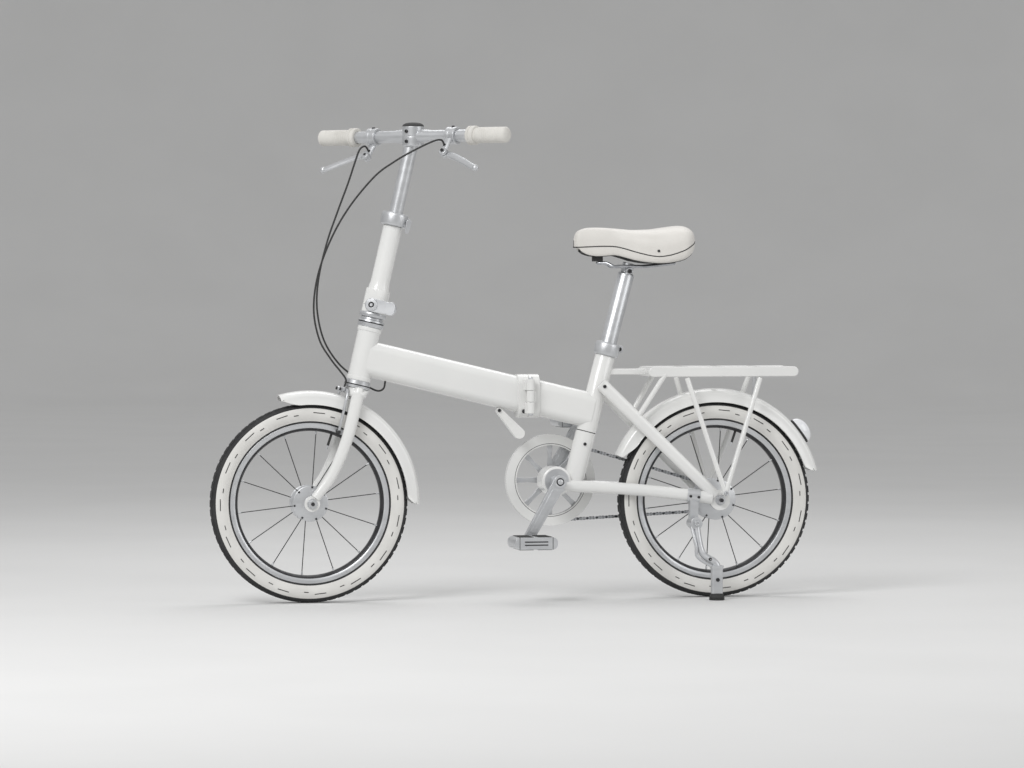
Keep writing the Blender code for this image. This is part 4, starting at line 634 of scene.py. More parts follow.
class Repeater:
    """Node trees that set a small form again and again round a ring or along a path."""

    KINDS = {"Count": "Int", "Parity": "Int", "Radius": "Float", "Height": "Float", "Phase": "Float",
             "Lean": "Float", "Size": "Vector", "Material": "Material"}
    RING = ("Count", "Radius", "Height", "Phase", "Lean", "Size", "Material")
    PATH = ("Count", "Parity", "Size", "Material")
    ROD_SIDES = 10

    @classmethod
    def ring(cls, form: RepeatForm, finish: Finish, **sizes: object) -> bpy.types.Mesh:
        """Mesh of a form repeated round local Z.

        Args:
            form: what is repeated.
            finish: its finish.
            sizes: the tree's inputs by name.

        Returns:
            The plain mesh.
        """
        name = "ring_of_" + form.value
        tree = bpy.data.node_groups.get(name) or cls._tree(name, form, cls.RING, cls._ring_places)
        obj = bpy.data.objects.new("ring", bpy.data.meshes.new("ring"))
        return cls._realise(obj, tree, dict(sizes, Material=finish.material()))

    @classmethod
    def path(cls, points: Sequence[Vector], closed: bool, form: RepeatForm, finish: Finish,
             **sizes: object) -> bpy.types.Mesh:
        """Mesh of a form repeated along a path.

        Args:
            points: the path.
            closed: whether it is a loop.
            form: what is repeated.
            finish: its finish.
            sizes: the tree's inputs by name.

        Returns:
            The plain mesh.
        """
        name = "path_of_" + form.value
        tree = bpy.data.node_groups.get(name) or cls._tree(name, form, cls.PATH, cls._path_places)
        curve = bpy.data.curves.new("path", "CURVE")
        curve.dimensions = "3D"
        spline = curve.splines.new("POLY")
        spline.points.add(len(points) - 1)
        spline.use_cyclic_u = closed
        for target, point in zip(spline.points, points):
            target.co = (*point, 1.0)
        return cls._realise(bpy.data.objects.new("path", curve), tree, dict(sizes, Material=finish.material()))

    @staticmethod
    def _realise(obj: bpy.types.Object, tree: Tree, values: dict) -> bpy.types.Mesh:
        """Evaluate a tree on an object, which is used up.

        Args:
            obj: the object that gets the tree.
            tree: the node tree.
            values: its inputs by name.

        Returns:
            The plain mesh.
        """
        bpy.context.scene.collection.objects.link(obj)
        modifier = obj.modifiers.new("repeat", "NODES")
        modifier.node_group = tree
        for item in tree.interface.items_tree:
            if item.item_type == "SOCKET" and item.in_out == "INPUT" and item.name in values:
                modifier[item.identifier] = values[item.name]
        obj.update_tag()
        bpy.context.view_layer.update()
        evaluated = obj.evaluated_get(bpy.context.evaluated_depsgraph_get())
        mesh = bpy.data.meshes.new_from_object(evaluated)
        bpy.data.objects.remove(obj)
        return mesh

    @classmethod
    def _tree(cls, name: str, form: RepeatForm, labels: Sequence[str], places: Callable) -> Tree:
        """Tree that sets copies of a form at places, realises them and sets their material.

        Args:
            name: the tree's name.
            form: what is repeated.
            labels: its named inputs.
            places: makes the inputs of the node that sets the copies.

        Returns:
            The tree.
        """
        tree = bpy.data.node_groups.new(name, "GeometryNodeTree")
        tree.interface.new_socket("Geometry", in_out="INPUT", socket_type="NodeSocketGeometry")
        for label in labels:
            tree.interface.new_socket(label, in_out="INPUT", socket_type="NodeSocket" + cls.KINDS[label])
        tree.interface.new_socket("Geometry", in_out="OUTPUT", socket_type="NodeSocketGeometry")
        given = tree.nodes.new("NodeGroupInput").outputs
        copies = wired(tree, "GeometryNodeInstanceOnPoints",
                       {**places(tree, given), "Instance": cls._form(tree, form, given["Size"])})
        real = wired(tree, "GeometryNodeRealizeInstances", {"Geometry": copies.outputs["Instances"]})
        dressed = wired(tree, "GeometryNodeSetMaterial",
                        {"Geometry": real.outputs["Geometry"], "Material": given["Material"]})
        wired(tree, "NodeGroupOutput", {"Geometry": dressed.outputs["Geometry"]})
        return tree

    @staticmethod
    def _math(tree: Tree, operation: str, *values: object) -> Socket:
        """Math node on sockets and numbers."""
        return wired(tree, "ShaderNodeMath", dict(enumerate(values)), operation=operation).outputs[0]

    @classmethod
    def _form(cls, tree: Tree, form: RepeatForm, size: Socket) -> Socket:
        """Geometry of the repeated form.

        Args:
            tree: tree that gets it.
            form: what it is.
            size: its length, width and height, or a rod's length and diameter.

        Returns:
            The socket that gives the form.
        """
        if form is RepeatForm.BLOCK:
            return wired(tree, "GeometryNodeMeshCube", {"Size": size}).outputs["Mesh"]
        split = wired(tree, "ShaderNodeSeparateXYZ", {0: size}).outputs
        bar = wired(tree, "GeometryNodeMeshCylinder",
                    {"Vertices": cls.ROD_SIDES, "Radius": cls._math(tree, "MULTIPLY", split["Y"], 0.5),
                     "Depth": split["X"]})
        turn = (0.0, math.pi / 2, 0.0) if form is RepeatForm.ROD else (math.pi / 2, 0.0, 0.0)
        inputs = {"Rotation": turn, "Geometry": bar.outputs["Mesh"]}
        return wired(tree, "GeometryNodeTransform", inputs).outputs["Geometry"]

    @classmethod
    def _ring_places(cls, tree: Tree, given: bpy.types.NodeOutputs) -> dict:
        """Places round local Z, each facing outwards.

        Args:
            tree: tree that gets them.
            given: the tree's inputs.

        Returns:
            Points and turns for the copies.
        """
        index = wired(tree, "GeometryNodeInputIndex").outputs[0]
        share = cls._math(tree, "DIVIDE", index, given["Count"])
        angle = cls._math(tree, "MULTIPLY_ADD", share, math.tau, given["Phase"])
        spot = {axis: cls._math(tree, "MULTIPLY", cls._math(tree, operation, angle), given["Radius"])
                for axis, operation in (("X", "COSINE"), ("Y", "SINE"))}
        spot = wired(tree, "ShaderNodeCombineXYZ", {**spot, "Z": given["Height"]}).outputs[0]
        points = wired(tree, "GeometryNodePoints", {"Count": given["Count"], "Position": spot})
        turn = wired(tree, "ShaderNodeCombineXYZ", {"Y": given["Lean"], "Z": angle}).outputs[0]
        facing = wired(tree, "FunctionNodeEulerToRotation", {0: turn})
        return {"Points": points.outputs[0], "Rotation": facing.outputs[0]}

    @classmethod
    def _path_places(cls, tree: Tree, given: bpy.types.NodeOutputs) -> dict:
        """Places along a curve, every other one chosen by parity, with local X along the curve.

        Args:
            tree: tree that gets them.
            given: the tree's inputs.

        Returns:
            Points, choice and turns for the copies.
        """
        points = wired(tree, "GeometryNodeCurveToPoints", {"Curve": given["Geometry"], "Count": given["Count"]},
                       mode="COUNT").outputs
        facing = wired(tree, "FunctionNodeAlignRotationToVector", {"Vector": points["Tangent"]}, axis="X")
        odd = cls._math(tree, "MODULO", wired(tree, "GeometryNodeInputIndex").outputs[0], 2.0)
        wanted = cls._math(tree, "COMPARE", odd, given["Parity"], 0.1)
        return {"Points": points["Points"], "Selection": wanted, "Rotation": facing.outputs[0]}


def rounded_rectangle(width: float, height: float, corner: float, corner_points: int = 9) -> list[Vector]:
    """Outline of a rectangle with round corners, centred on its origin.

    Args:
        width: its size along X.
        height: its size along Y.
        corner: radius of its corners.
        corner_points: how many points each corner has.

    Returns:
        The outline's points.
    """
    outline = []
    for quarter, (sign_x, sign_y) in enumerate(((1, 1), (-1, 1), (-1, -1), (1, -1))):
        centre = Vector((sign_x * (width / 2 - corner), sign_y * (height / 2 - corner)))
        for step in range(corner_points):
            angle = (quarter + step / (corner_points - 1)) * math.pi / 2
            outline.append(centre + corner * Vector((math.cos(angle), math.sin(angle))))
    return outline


def link_outline(length: float, start_radius: float, end_radius: float, arc_points: int = 15) -> list[tuple]:
    """Outline of a flat arm along +X with a round end about each of its centres.

    Args:
        length: distance between the centres.
        start_radius: radius about the origin.
        end_radius: radius about the far centre.
        arc_points: how many points each end has.

    Returns:
        The outline's points.
    """
    lean = math.asin((start_radius - end_radius) / length)
    outline = []
    for centre, radius, first, way in ((length, end_radius, -math.pi / 2, 1),
                                       (0.0, start_radius, math.pi / 2, -1)):
        for step in range(arc_points):
            angle = first + way * lean + (math.pi - way * 2 * lean) * step / (arc_points - 1)
            outline.append((centre + radius * math.cos(angle), radius * math.sin(angle)))
    return outline


def circle(radius: float, steps: int = 48, phase: float = 0.0) -> list[tuple]:
    """Points of a circle about the origin."""
    return [(radius * math.cos(phase + i / steps * math.tau), radius * math.sin(phase + i / steps * math.tau))
            for i in range(steps)]


def edged_disc(bore: float, radius: float, half: float, cut: float, rise: float) -> list[tuple]:
    """Profile of a disc with a hole and cut edges, half of its thickness to either side."""
    return [(bore, -half), (radius - cut, -half), (radius, rise - half), (radius, half - rise),
            (radius - cut, half), (bore, half)]


def collar_profile(bore: float, radius: float, faces: tuple[float, float], start: float,
                   rise: float) -> list[tuple]:
    """Profile of a clamp collar that swells between its shoulders.

    Args:
        bore: radius of its hole.
        radius: radius of its shoulders, before their edges are cut.
        faces: heights of its lower and upper face.
        start: height at which it starts to swell.
        rise: height of the part that swells.

    Returns:
        Radius and height of each point.
    """
    profile = [(bore, faces[0]), (radius - 0.001, faces[0])]
    for step in range(9):
        bend = step / 8 * math.pi
        profile.append((radius + 0.0022 * math.sin(bend), start + rise * (1 - math.cos(bend)) / 2))
    return profile + [(radius - 0.001, faces[1]), (bore, faces[1])]


@dataclass
class Wheel:
    """Whitewall tyre, rim and spoked hub on one axle."""

    side: str
    axle: Vector
    body: str
    axle_body: str
    flange_radius: float
    nut_face: float
    axle_length: float
    rim_radius: float = 0.2057
    rim_inner: float = 0.1847
    turn: float = math.pi / 32
    spokes: int = 14
    spoke_width: float = 0.0024
    flange_offset: float = 0.026
    spoke_spread: float = 0.004
    nipple: tuple = (0.01, 0.0046, 0.0)
    spoke_head: tuple = (0.005, 0.005, 0.0016)
    tread_blocks: int = 66
    wall_dashes: int = 15

    # Half of the tyre's section: radius, distance from its middle plane
    TYRE_SECTION = ((0.253, 0.0), (0.2527, 0.0075), (0.2512, 0.014), (0.2482, 0.019), (0.2432, 0.0229),
                    (0.2362, 0.0247), (0.2285, 0.025), (0.2205, 0.0234), (0.214, 0.0205), (0.21, 0.0184),
                    (0.2066, 0.0172), (0.206, 0.015))
    RIM_SECTION = ((0.2045, 0.0), (0.204, 0.014), (0.2057, 0.0162), (0.205, 0.017), (0.1985, 0.0166),
                   (0.1925, 0.015), (0.188, 0.0105), (0.1847, 0.0055), (0.1847, 0.0))
    # Rows of tread blocks: distance from the middle plane, phase in blocks, radius, size
    TREAD_ROWS = ((0.0, 0.0, 0.2527, (0.0024, 0.0205, 0.0072)),
                  (0.0098, 0.5, 0.2524, (0.0026, 0.0175, 0.0078)),
                  (-0.0098, 0.5, 0.2524, (0.0026, 0.0175, 0.0078)))
    # Dash marks on the walls: radius, phase, distance from the middle plane, size
    WALL_MARKS = ((0.2318, 0.0, 0.0249, (0.0021, 0.03, 0.0008)),
                  (0.2268, 0.16, 0.02475, (0.0021, 0.012, 0.0008)))
    # Parts of the valve: reach from the rim, radius, finish
    VALVE = ((0.03, 0.0032, BLACK_RUBBER), (0.04, 0.0024, SILVER))

    def place(self) -> Matrix:
        """Matrix on the axle with local Z across the bicycle, turned as the solid wheel is."""
        return frame_at(self.axle, ACROSS) @ Matrix.Rotation(self.turn, 4, "Z")

    def build(self) -> None:
        """Make the wheel's pieces."""
        self.tyre()
        self.rim()
        self.hub()
        self.axle_and_nuts()

    @staticmethod
    def _both_sides(section: Sequence[tuple]) -> list[tuple]:
        """Closed section from its half."""
        return list(section) + [(radius, -height) for radius, height in reversed(section) if height]

    def phase(self, way: int) -> float:
        """Angle of the first spoke on a side."""
        return 0.0 if way < 0 else math.tau / self.spokes

    def tyre(self) -> None:
        """Tyre with black tread blocks and bead, and white walls with dash marks."""
        half = [TREAD] * 4 + [WHITEWALL] * 5 + [TREAD] * 2
        shape = Shape(TREAD, WHITEWALL)
        shape.turned(self._both_sides(self.TYRE_SECTION), self.place(), 128, closed=True,
                     bands=half + [TREAD] + half[::-1])
        step = math.tau / self.tread_blocks
        for height, phase, radius, size in self.TREAD_ROWS:
            shape.ringed(RepeatForm.BLOCK, TREAD, self.place(), Count=self.tread_blocks, Radius=radius, Height=height,
                         Phase=phase * step, Lean=0.0, Size=size)
        for way in (-1, 1):
            for radius, phase, height, size in self.WALL_MARKS:
                shape.ringed(RepeatForm.BLOCK, TREAD, self.place(), Count=self.wall_dashes, Radius=radius,
                             Height=way * height, Phase=phase, Lean=0.0, Size=size)
        shape.piece(self.side + "_whitewall_tyre", self.body, self.side + "_tyre", bevel=0.0, smooth=50.0)

    def rim(self) -> None:
        """Rim with a black line on its inner edge, spoke nipples and a valve."""
        shape = Shape(SILVER, DARK_STEEL)
        half = [SILVER] * 5 + [DARK_STEEL] * 3
        shape.turned(self._both_sides(self.RIM_SECTION), self.place(), 128, closed=True,
                     bands=half + half[::-1])
        for way in (-1, 1):
            shape.ringed(RepeatForm.ROD, SILVER, self.place(), Count=self.spokes // 2, Radius=self.rim_inner - 0.004,
                         Height=way * self.spoke_spread, Phase=self.phase(way), Lean=0.0, Size=self.nipple)
        turn = self.place() @ Matrix.Rotation(math.pi / self.spokes, 4, "Z")
        for reach, radius, finish in self.VALVE:
            start = turn @ Vector((self.rim_inner + 0.001, 0.0, 0.0))
            shape.rod(start, turn @ Vector((self.rim_inner - reach, 0.0, 0.0)), radius, finish=finish, steps=16)
        shape.piece(self.side + "_box_rim", self.body, self.side + "_rim", bevel=0.0003, smooth=50.0)

    def hub(self) -> None:
        """Hub shell with two flanges, and its spokes."""
        shape = Shape(SILVER, DARK_STEEL)
        flange, radius = self.flange_offset, self.flange_radius
        half = [(0.0145, 0.0), (0.015, 0.012), (0.0175, flange - 0.004), (radius - 0.002, flange - 0.002),
                (radius, flange - 0.001), (radius, flange + 0.001), (radius - 0.002, flange + 0.002),
                (0.02, flange + 0.0025), (0.0165, flange + 0.0035), (0.012, flange + 0.0045), (0.012, 0.035),
                (0.006, 0.035), (0.006, 0.0)]
        shape.turned(self._both_sides(half), self.place(), 64, closed=True)
        inner = radius - 0.004
        length = math.hypot(self.rim_inner - inner, flange - self.spoke_spread)
        lean = math.atan2(flange - self.spoke_spread, self.rim_inner - inner)
        for way in (-1, 1):
            both = dict(Count=self.spokes // 2, Phase=self.phase(way))
            shape.ringed(RepeatForm.ROD, DARK_STEEL, self.place(), Radius=(self.rim_inner + inner) / 2,
                         Height=way * (flange + self.spoke_spread) / 2, Lean=way * lean,
                         Size=(length, self.spoke_width, 0.0), **both)
            shape.ringed(RepeatForm.BLOCK, DARK_STEEL, self.place(), Radius=inner, Height=way * (flange + 0.0022),
                         Lean=0.0, Size=self.spoke_head, **both)
        shape.piece(self.side + "_spoked_hub", self.body, self.side + "_hub", bevel=0.0003)

    def axle_and_nuts(self) -> None:
        """Axle with washers and domed nuts."""
        shape = Shape(SILVER, DARK_STEEL)
        half = self.axle_length / 2
        shape.rod(self.axle - half * ACROSS, self.axle + half * ACROSS, 0.0048, finish=DARK_STEEL, crown=0.0006)
        for way in (-1, 1):
            face = self.axle + way * self.nut_face * ACROSS
            out = frame_at(face, way * ACROSS)
            shape.turned([(0.0, 0.0), (0.0135, 0.0), (0.0135, 0.0015), (0.0, 0.0015)], out, 40)
            shape.slab([circle(0.0115, 6)], 0.007, out @ Matrix.Translation((0.0, 0.0, 0.0048)))
        shape.piece(self.side + "_axle_and_nuts", self.axle_body, self.side + "_axle")


@dataclass
class Drive:
    """Chain, chainring, cranks, pedals and sprocket."""

    chain_line: float = 0.045
    pitch: float = 0.0127
    ring_teeth: int = 52
    sprocket_teeth: int = 16
    crank_length: float = 0.1735
    crank_angle: float = math.radians(240.4)
    crank_face: float = 0.062
    crank_thickness: float = 0.016
    guard_radius: float = 0.119
    ring_inner: float = 0.09
    bolt_circle: float = 0.097
    spider_arms: int = 8
    pedal_size: tuple = (0.112, 0.095, 0.034)
    tread_ribs: int = 9
    rib_size: tuple = (0.0056, 0.036, 0.003)

    # Parts of the chain: form, which of the links, size, finish
    LINKS = ((RepeatForm.BLOCK, 0, (0.0168, 0.007, 0.0066), STEEL),
             (RepeatForm.BLOCK, 1, (0.0168, 0.0048, 0.0078), DARK_STEEL),
             (RepeatForm.STUD, 0, (0.007, 0.0084, 0.0), STEEL),
             (RepeatForm.STUD, 1, (0.007, 0.0084, 0.0), STEEL))
    # Half of a spider arm's outline, from its root
    SPIDER_EDGE = ((0.026, 0.0085), (0.06, 0.0052), (0.09, 0.0072))

    def radius(self, teeth: int) -> float:
        """Pitch radius of a toothed wheel."""
        return self.pitch / (2 * math.sin(math.pi / teeth))

    def build(self) -> None:
        """Make the drive's pieces."""
        self.chain()
        self.chainring()
        self.sprocket()
        self.crank("left", -1, self.crank_angle)
        self.crank("right", 1, self.crank_angle + math.pi)

    def loop(self, steps: int = 40) -> list[Vector]:
        """Pitch line of the chain round both toothed wheels.

        Args:
            steps: how many points lie on each wheel.

        Returns:
            The line's points.
        """
        span = REAR_AXLE - BRACKET
        big, small = self.radius(self.ring_teeth), self.radius(self.sprocket_teeth)
        slope, lean = math.atan2(span.z, span.x), math.acos((big - small) / math.hypot(span.x, span.z))
        points = []
        for centre, radius, first, sweep in ((BRACKET, big, slope + lean, math.tau - 2 * lean),
                                             (REAR_AXLE, small, slope - lean, 2 * lean)):
            for step in range(steps):
                angle = first + sweep * step / (steps - 1)
                points.append(Vector((centre.x + radius * math.cos(angle), self.chain_line,
                                      centre.z + radius * math.sin(angle))))
        return points

    def chain(self) -> None:
        """Chain of outer and inner links with their rollers."""
        points = self.loop()
        length = sum((b - a).length for a, b in zip(points, points[1:] + points[:1]))
        count = 2 * round(length / self.pitch / 2)
        shape = Shape(DARK_STEEL, STEEL)
        for form, parity, size, finish in self.LINKS:
            shape.threaded(points, True, form, finish, Count=count, Parity=parity, Size=size)
        shape.piece("link_chain", "rear_frame", "chain", bevel=0.0009)

    def toothed(self, teeth: int, depth: float) -> list[tuple]:
        """Outline of a toothed wheel.

        Args:
            teeth: how many teeth it has.
            depth: how far they reach from the pitch line.

        Returns:
            The outline's points.
        """
        radius, outline = self.radius(teeth), []
        for step in range(teeth * 8):
            angle = step / (teeth * 8) * math.tau
            rise = max(-0.7, min(0.7, 1.2 * math.cos(angle * teeth)))
            reach = radius + depth * rise
            outline.append((reach * math.cos(angle), reach * math.sin(angle)))
        return outline

    def chainring(self) -> None:
        """Toothed ring, the guard disc outside it, and the thin cover inside the chain."""
        place = frame_at(BRACKET + self.chain_line * ACROSS, ACROSS)
        shape = Shape(SILVER, DARK_STEEL, WHITE_PAINT)
        shape.slab([self.toothed(self.ring_teeth, 0.0028), circle(self.ring_inner, 96)], 0.0022, place)
        guard = 0.0041
        section = [(self.ring_inner, guard), (self.ring_inner, guard + 0.003), (0.108, guard + 0.003),
                   (0.11, guard + 0.0022), (0.1145, guard + 0.0022), (0.116, guard + 0.003),
                   (self.guard_radius - 0.001, guard + 0.003), (self.guard_radius, guard + 0.0015),
                   (self.guard_radius - 0.001, guard)]
        bands = [DARK_STEEL] + [WHITE_PAINT] * 2 + [DARK_STEEL] + [WHITE_PAINT] * 5
        shape.turned(section, place, 128, closed=True, bands=bands)
        cover = -0.0052
        section = [(self.ring_inner, cover + 0.0006), (self.ring_inner, cover), (0.0936, cover), (0.095, cover),
                   (self.guard_radius - 0.0005, cover), (self.guard_radius - 0.0005, cover + 0.0006)]
        bands = [DARK_STEEL, WHITE_PAINT, DARK_STEEL, WHITE_PAINT, DARK_STEEL, SILVER]
        shape.turned(section, place, 128, closed=True, bands=bands)
        for index in range(self.spider_arms):
            angle = index / self.spider_arms * math.tau
            spot = place @ Vector((self.bolt_circle * math.cos(angle), self.bolt_circle * math.sin(angle), 0.0071))
            shape.bolt(spot, ACROSS, 0.0048, DARK_STEEL)
            shape.rod(spot - 0.0071 * ACROSS, spot - (0.0069 - cover) * ACROSS, 0.003, finish=SILVER)
        shape.piece("guarded_chainring", "cranks", "chainring", bevel=0.0004)

    def sprocket(self) -> None:
        """Small toothed wheel on its freewheel boss."""
        place = frame_at(REAR_AXLE, ACROSS)
        shape = Shape(STEEL, DARK_STEEL)
        shape.slab([self.toothed(self.sprocket_teeth, 0.0026), circle(0.0066, 24)], 0.0022,
                   place @ Matrix.Translation((0.0, 0.0, self.chain_line)))
        boss = [(0.0062, 0.0362), (0.016, 0.0362), (0.016, 0.044), (0.0185, 0.0462), (0.0185, 0.049),
                (0.0155, 0.052), (0.0155, 0.063), (0.0062, 0.063)]
        shape.turned(boss, place, 40, DARK_STEEL, closed=True)
        shape.piece("rear_toothed_sprocket", "sprocket", "rear_sprocket", bevel=0.0004)

    def crank(self, name: str, way: int, angle: float) -> None:
        """Crank arm with its boss, cap and spindle, and the pedal on it.

        Args:
            name: side that starts the names of the pieces.
            way: -1 for the left side, 1 for the right one.
            angle: direction of the arm in the bicycle's plane.
        """
        out = way * ACROSS
        along = Vector((math.cos(angle), 0.0, math.sin(angle)))
        middle = BRACKET + (self.crank_face + self.crank_thickness / 2) * out
        face = BRACKET + (self.crank_face + self.crank_thickness) * out
        shape = Shape(SILVER, DARK_STEEL)
        place = in_plane(middle, along, ACROSS)
        shape.slab([link_outline(self.crank_length, 0.017, 0.013)], self.crank_thickness - 0.003, place)
        inset = link_outline(self.crank_length - 0.06, 0.0085, 0.0065)
        shape.slab([inset], self.crank_thickness, place @ Matrix.Translation((0.03, 0.0, 0.0)))
        cap = frame_at(face, out)
        shape.turned([(0.0, 0.0016), (0.007, 0.0014), (0.0078, 0.0004), (0.0098, -0.0004), (0.0098, -0.004),
                      (0.0, -0.004)], cap, 40, bands=[SILVER] + [DARK_STEEL] * 4)
        shape.turned([(0.01, -0.002), (0.0165, -0.002), (0.016, 0.0), (0.012, 0.0003), (0.01, -0.0005)],
                     cap, 40, closed=True)
        boss_start = BRACKET + (0.0491 if way > 0 else 0.0366) * out
        shape.rod(boss_start, middle, 0.017, finish=SILVER, steps=48)
        eye = middle + self.crank_length * along
        spindle_end = face + self.crank_length * along + 0.104 * out
        shape.rod(eye, spindle_end, 0.0058, finish=DARK_STEEL)
        shape.turned([(0.0, 0.0), (0.0095, 0.0), (0.0095, 0.004), (0.0075, 0.005), (0.0, 0.005)],
                     frame_at(face - 0.0015 * out + self.crank_length * along, out), 32, DARK_STEEL)
        if way > 0:
            self.spider(shape)
            shape.rod(BRACKET - 0.078 * out, middle, 0.0104, finish=DARK_STEEL)
        shape.piece(name + "_crank_arm", "cranks", name + "_crank", bevel=0.0022, smooth=50.0)
        self.pedal(name, out, face + self.crank_length * along + 0.012 * out)

    def spider(self, shape: Shape) -> None:
        """Add the arms between the right crank's boss and the chainring.

        Args:
            shape: the crank, which gets them.
        """
        place = frame_at(BRACKET + 0.0506 * ACROSS, ACROSS)
        shape.slab([circle(0.034, 48)], 0.003, place)
        for index in range(self.spider_arms):
            turn = place @ Matrix.Rotation(index / self.spider_arms * math.tau, 4, "Z")
            outline = [(x, -y) for x, y in self.SPIDER_EDGE] + list(reversed(self.SPIDER_EDGE))
            shape.slab([outline], 0.0024, turn)

    def pedal(self, name: str, out: Vector, inner_end: Vector) -> None:
        """Pedal with round ends, rubber treads above and below, and a slotted face whose slots are dark sheets of
        painted shade.

        Args:
            name: side that starts the names of the piece and its body.
            out: direction away from the bicycle on that side.
            inner_end: middle of the pedal's inner end.
        """
        length, width, height = self.pedal_size
        centre = inner_end + width / 2 * out
        shape = Shape(SILVER, BLACK_RUBBER, DARK_STEEL)
        side = in_plane(centre, ALONG, out)
        shape.slab([rounded_rectangle(length, height - 0.003, 0.0135, 11)], width - 0.002, side)
        level = in_plane(centre, ALONG, UP)
        for way in (-1, 1):
            face = centre + way * (height / 2 - 0.0015) * UP
            for tread in (-1, 1):
                ends = [face + tread * 0.024 * ALONG + across * ACROSS for across in (-0.038, 0.038)]
                for parity in (0, 1):
                    shape.threaded(ends, False, RepeatForm.BLOCK, BLACK_RUBBER, Count=self.tread_ribs, Parity=parity,
                                   Size=self.rib_size)
            # Painted shade: a dark steel sheet through the solid body stands for the shadow inside the slot.
            slot = level @ Matrix.Translation((0.0, 0.0, way * 0.004))
            shape.slab([rounded_rectangle(0.062, width + 0.0006, 0.0028)], 0.003, slot, DARK_STEEL)
            cap = level @ Matrix.Translation((way * (length / 2 - 0.013), 0.0, 0.0))
            shape.slab([rounded_rectangle(0.0016, width - 0.0006, 0.0007)], height - 0.0024, cap, DARK_STEEL)
        shape.turned([(0.0064, -0.004), (0.011, -0.004), (0.011, 0.004), (0.0064, 0.004)],
                     frame_at(inner_end + 0.003 * out, out), 32, SILVER, closed=True)
        shape.piece(name + "_rubber_pedal", name + "_pedal_body", name + "_pedal", bevel=0.0012)


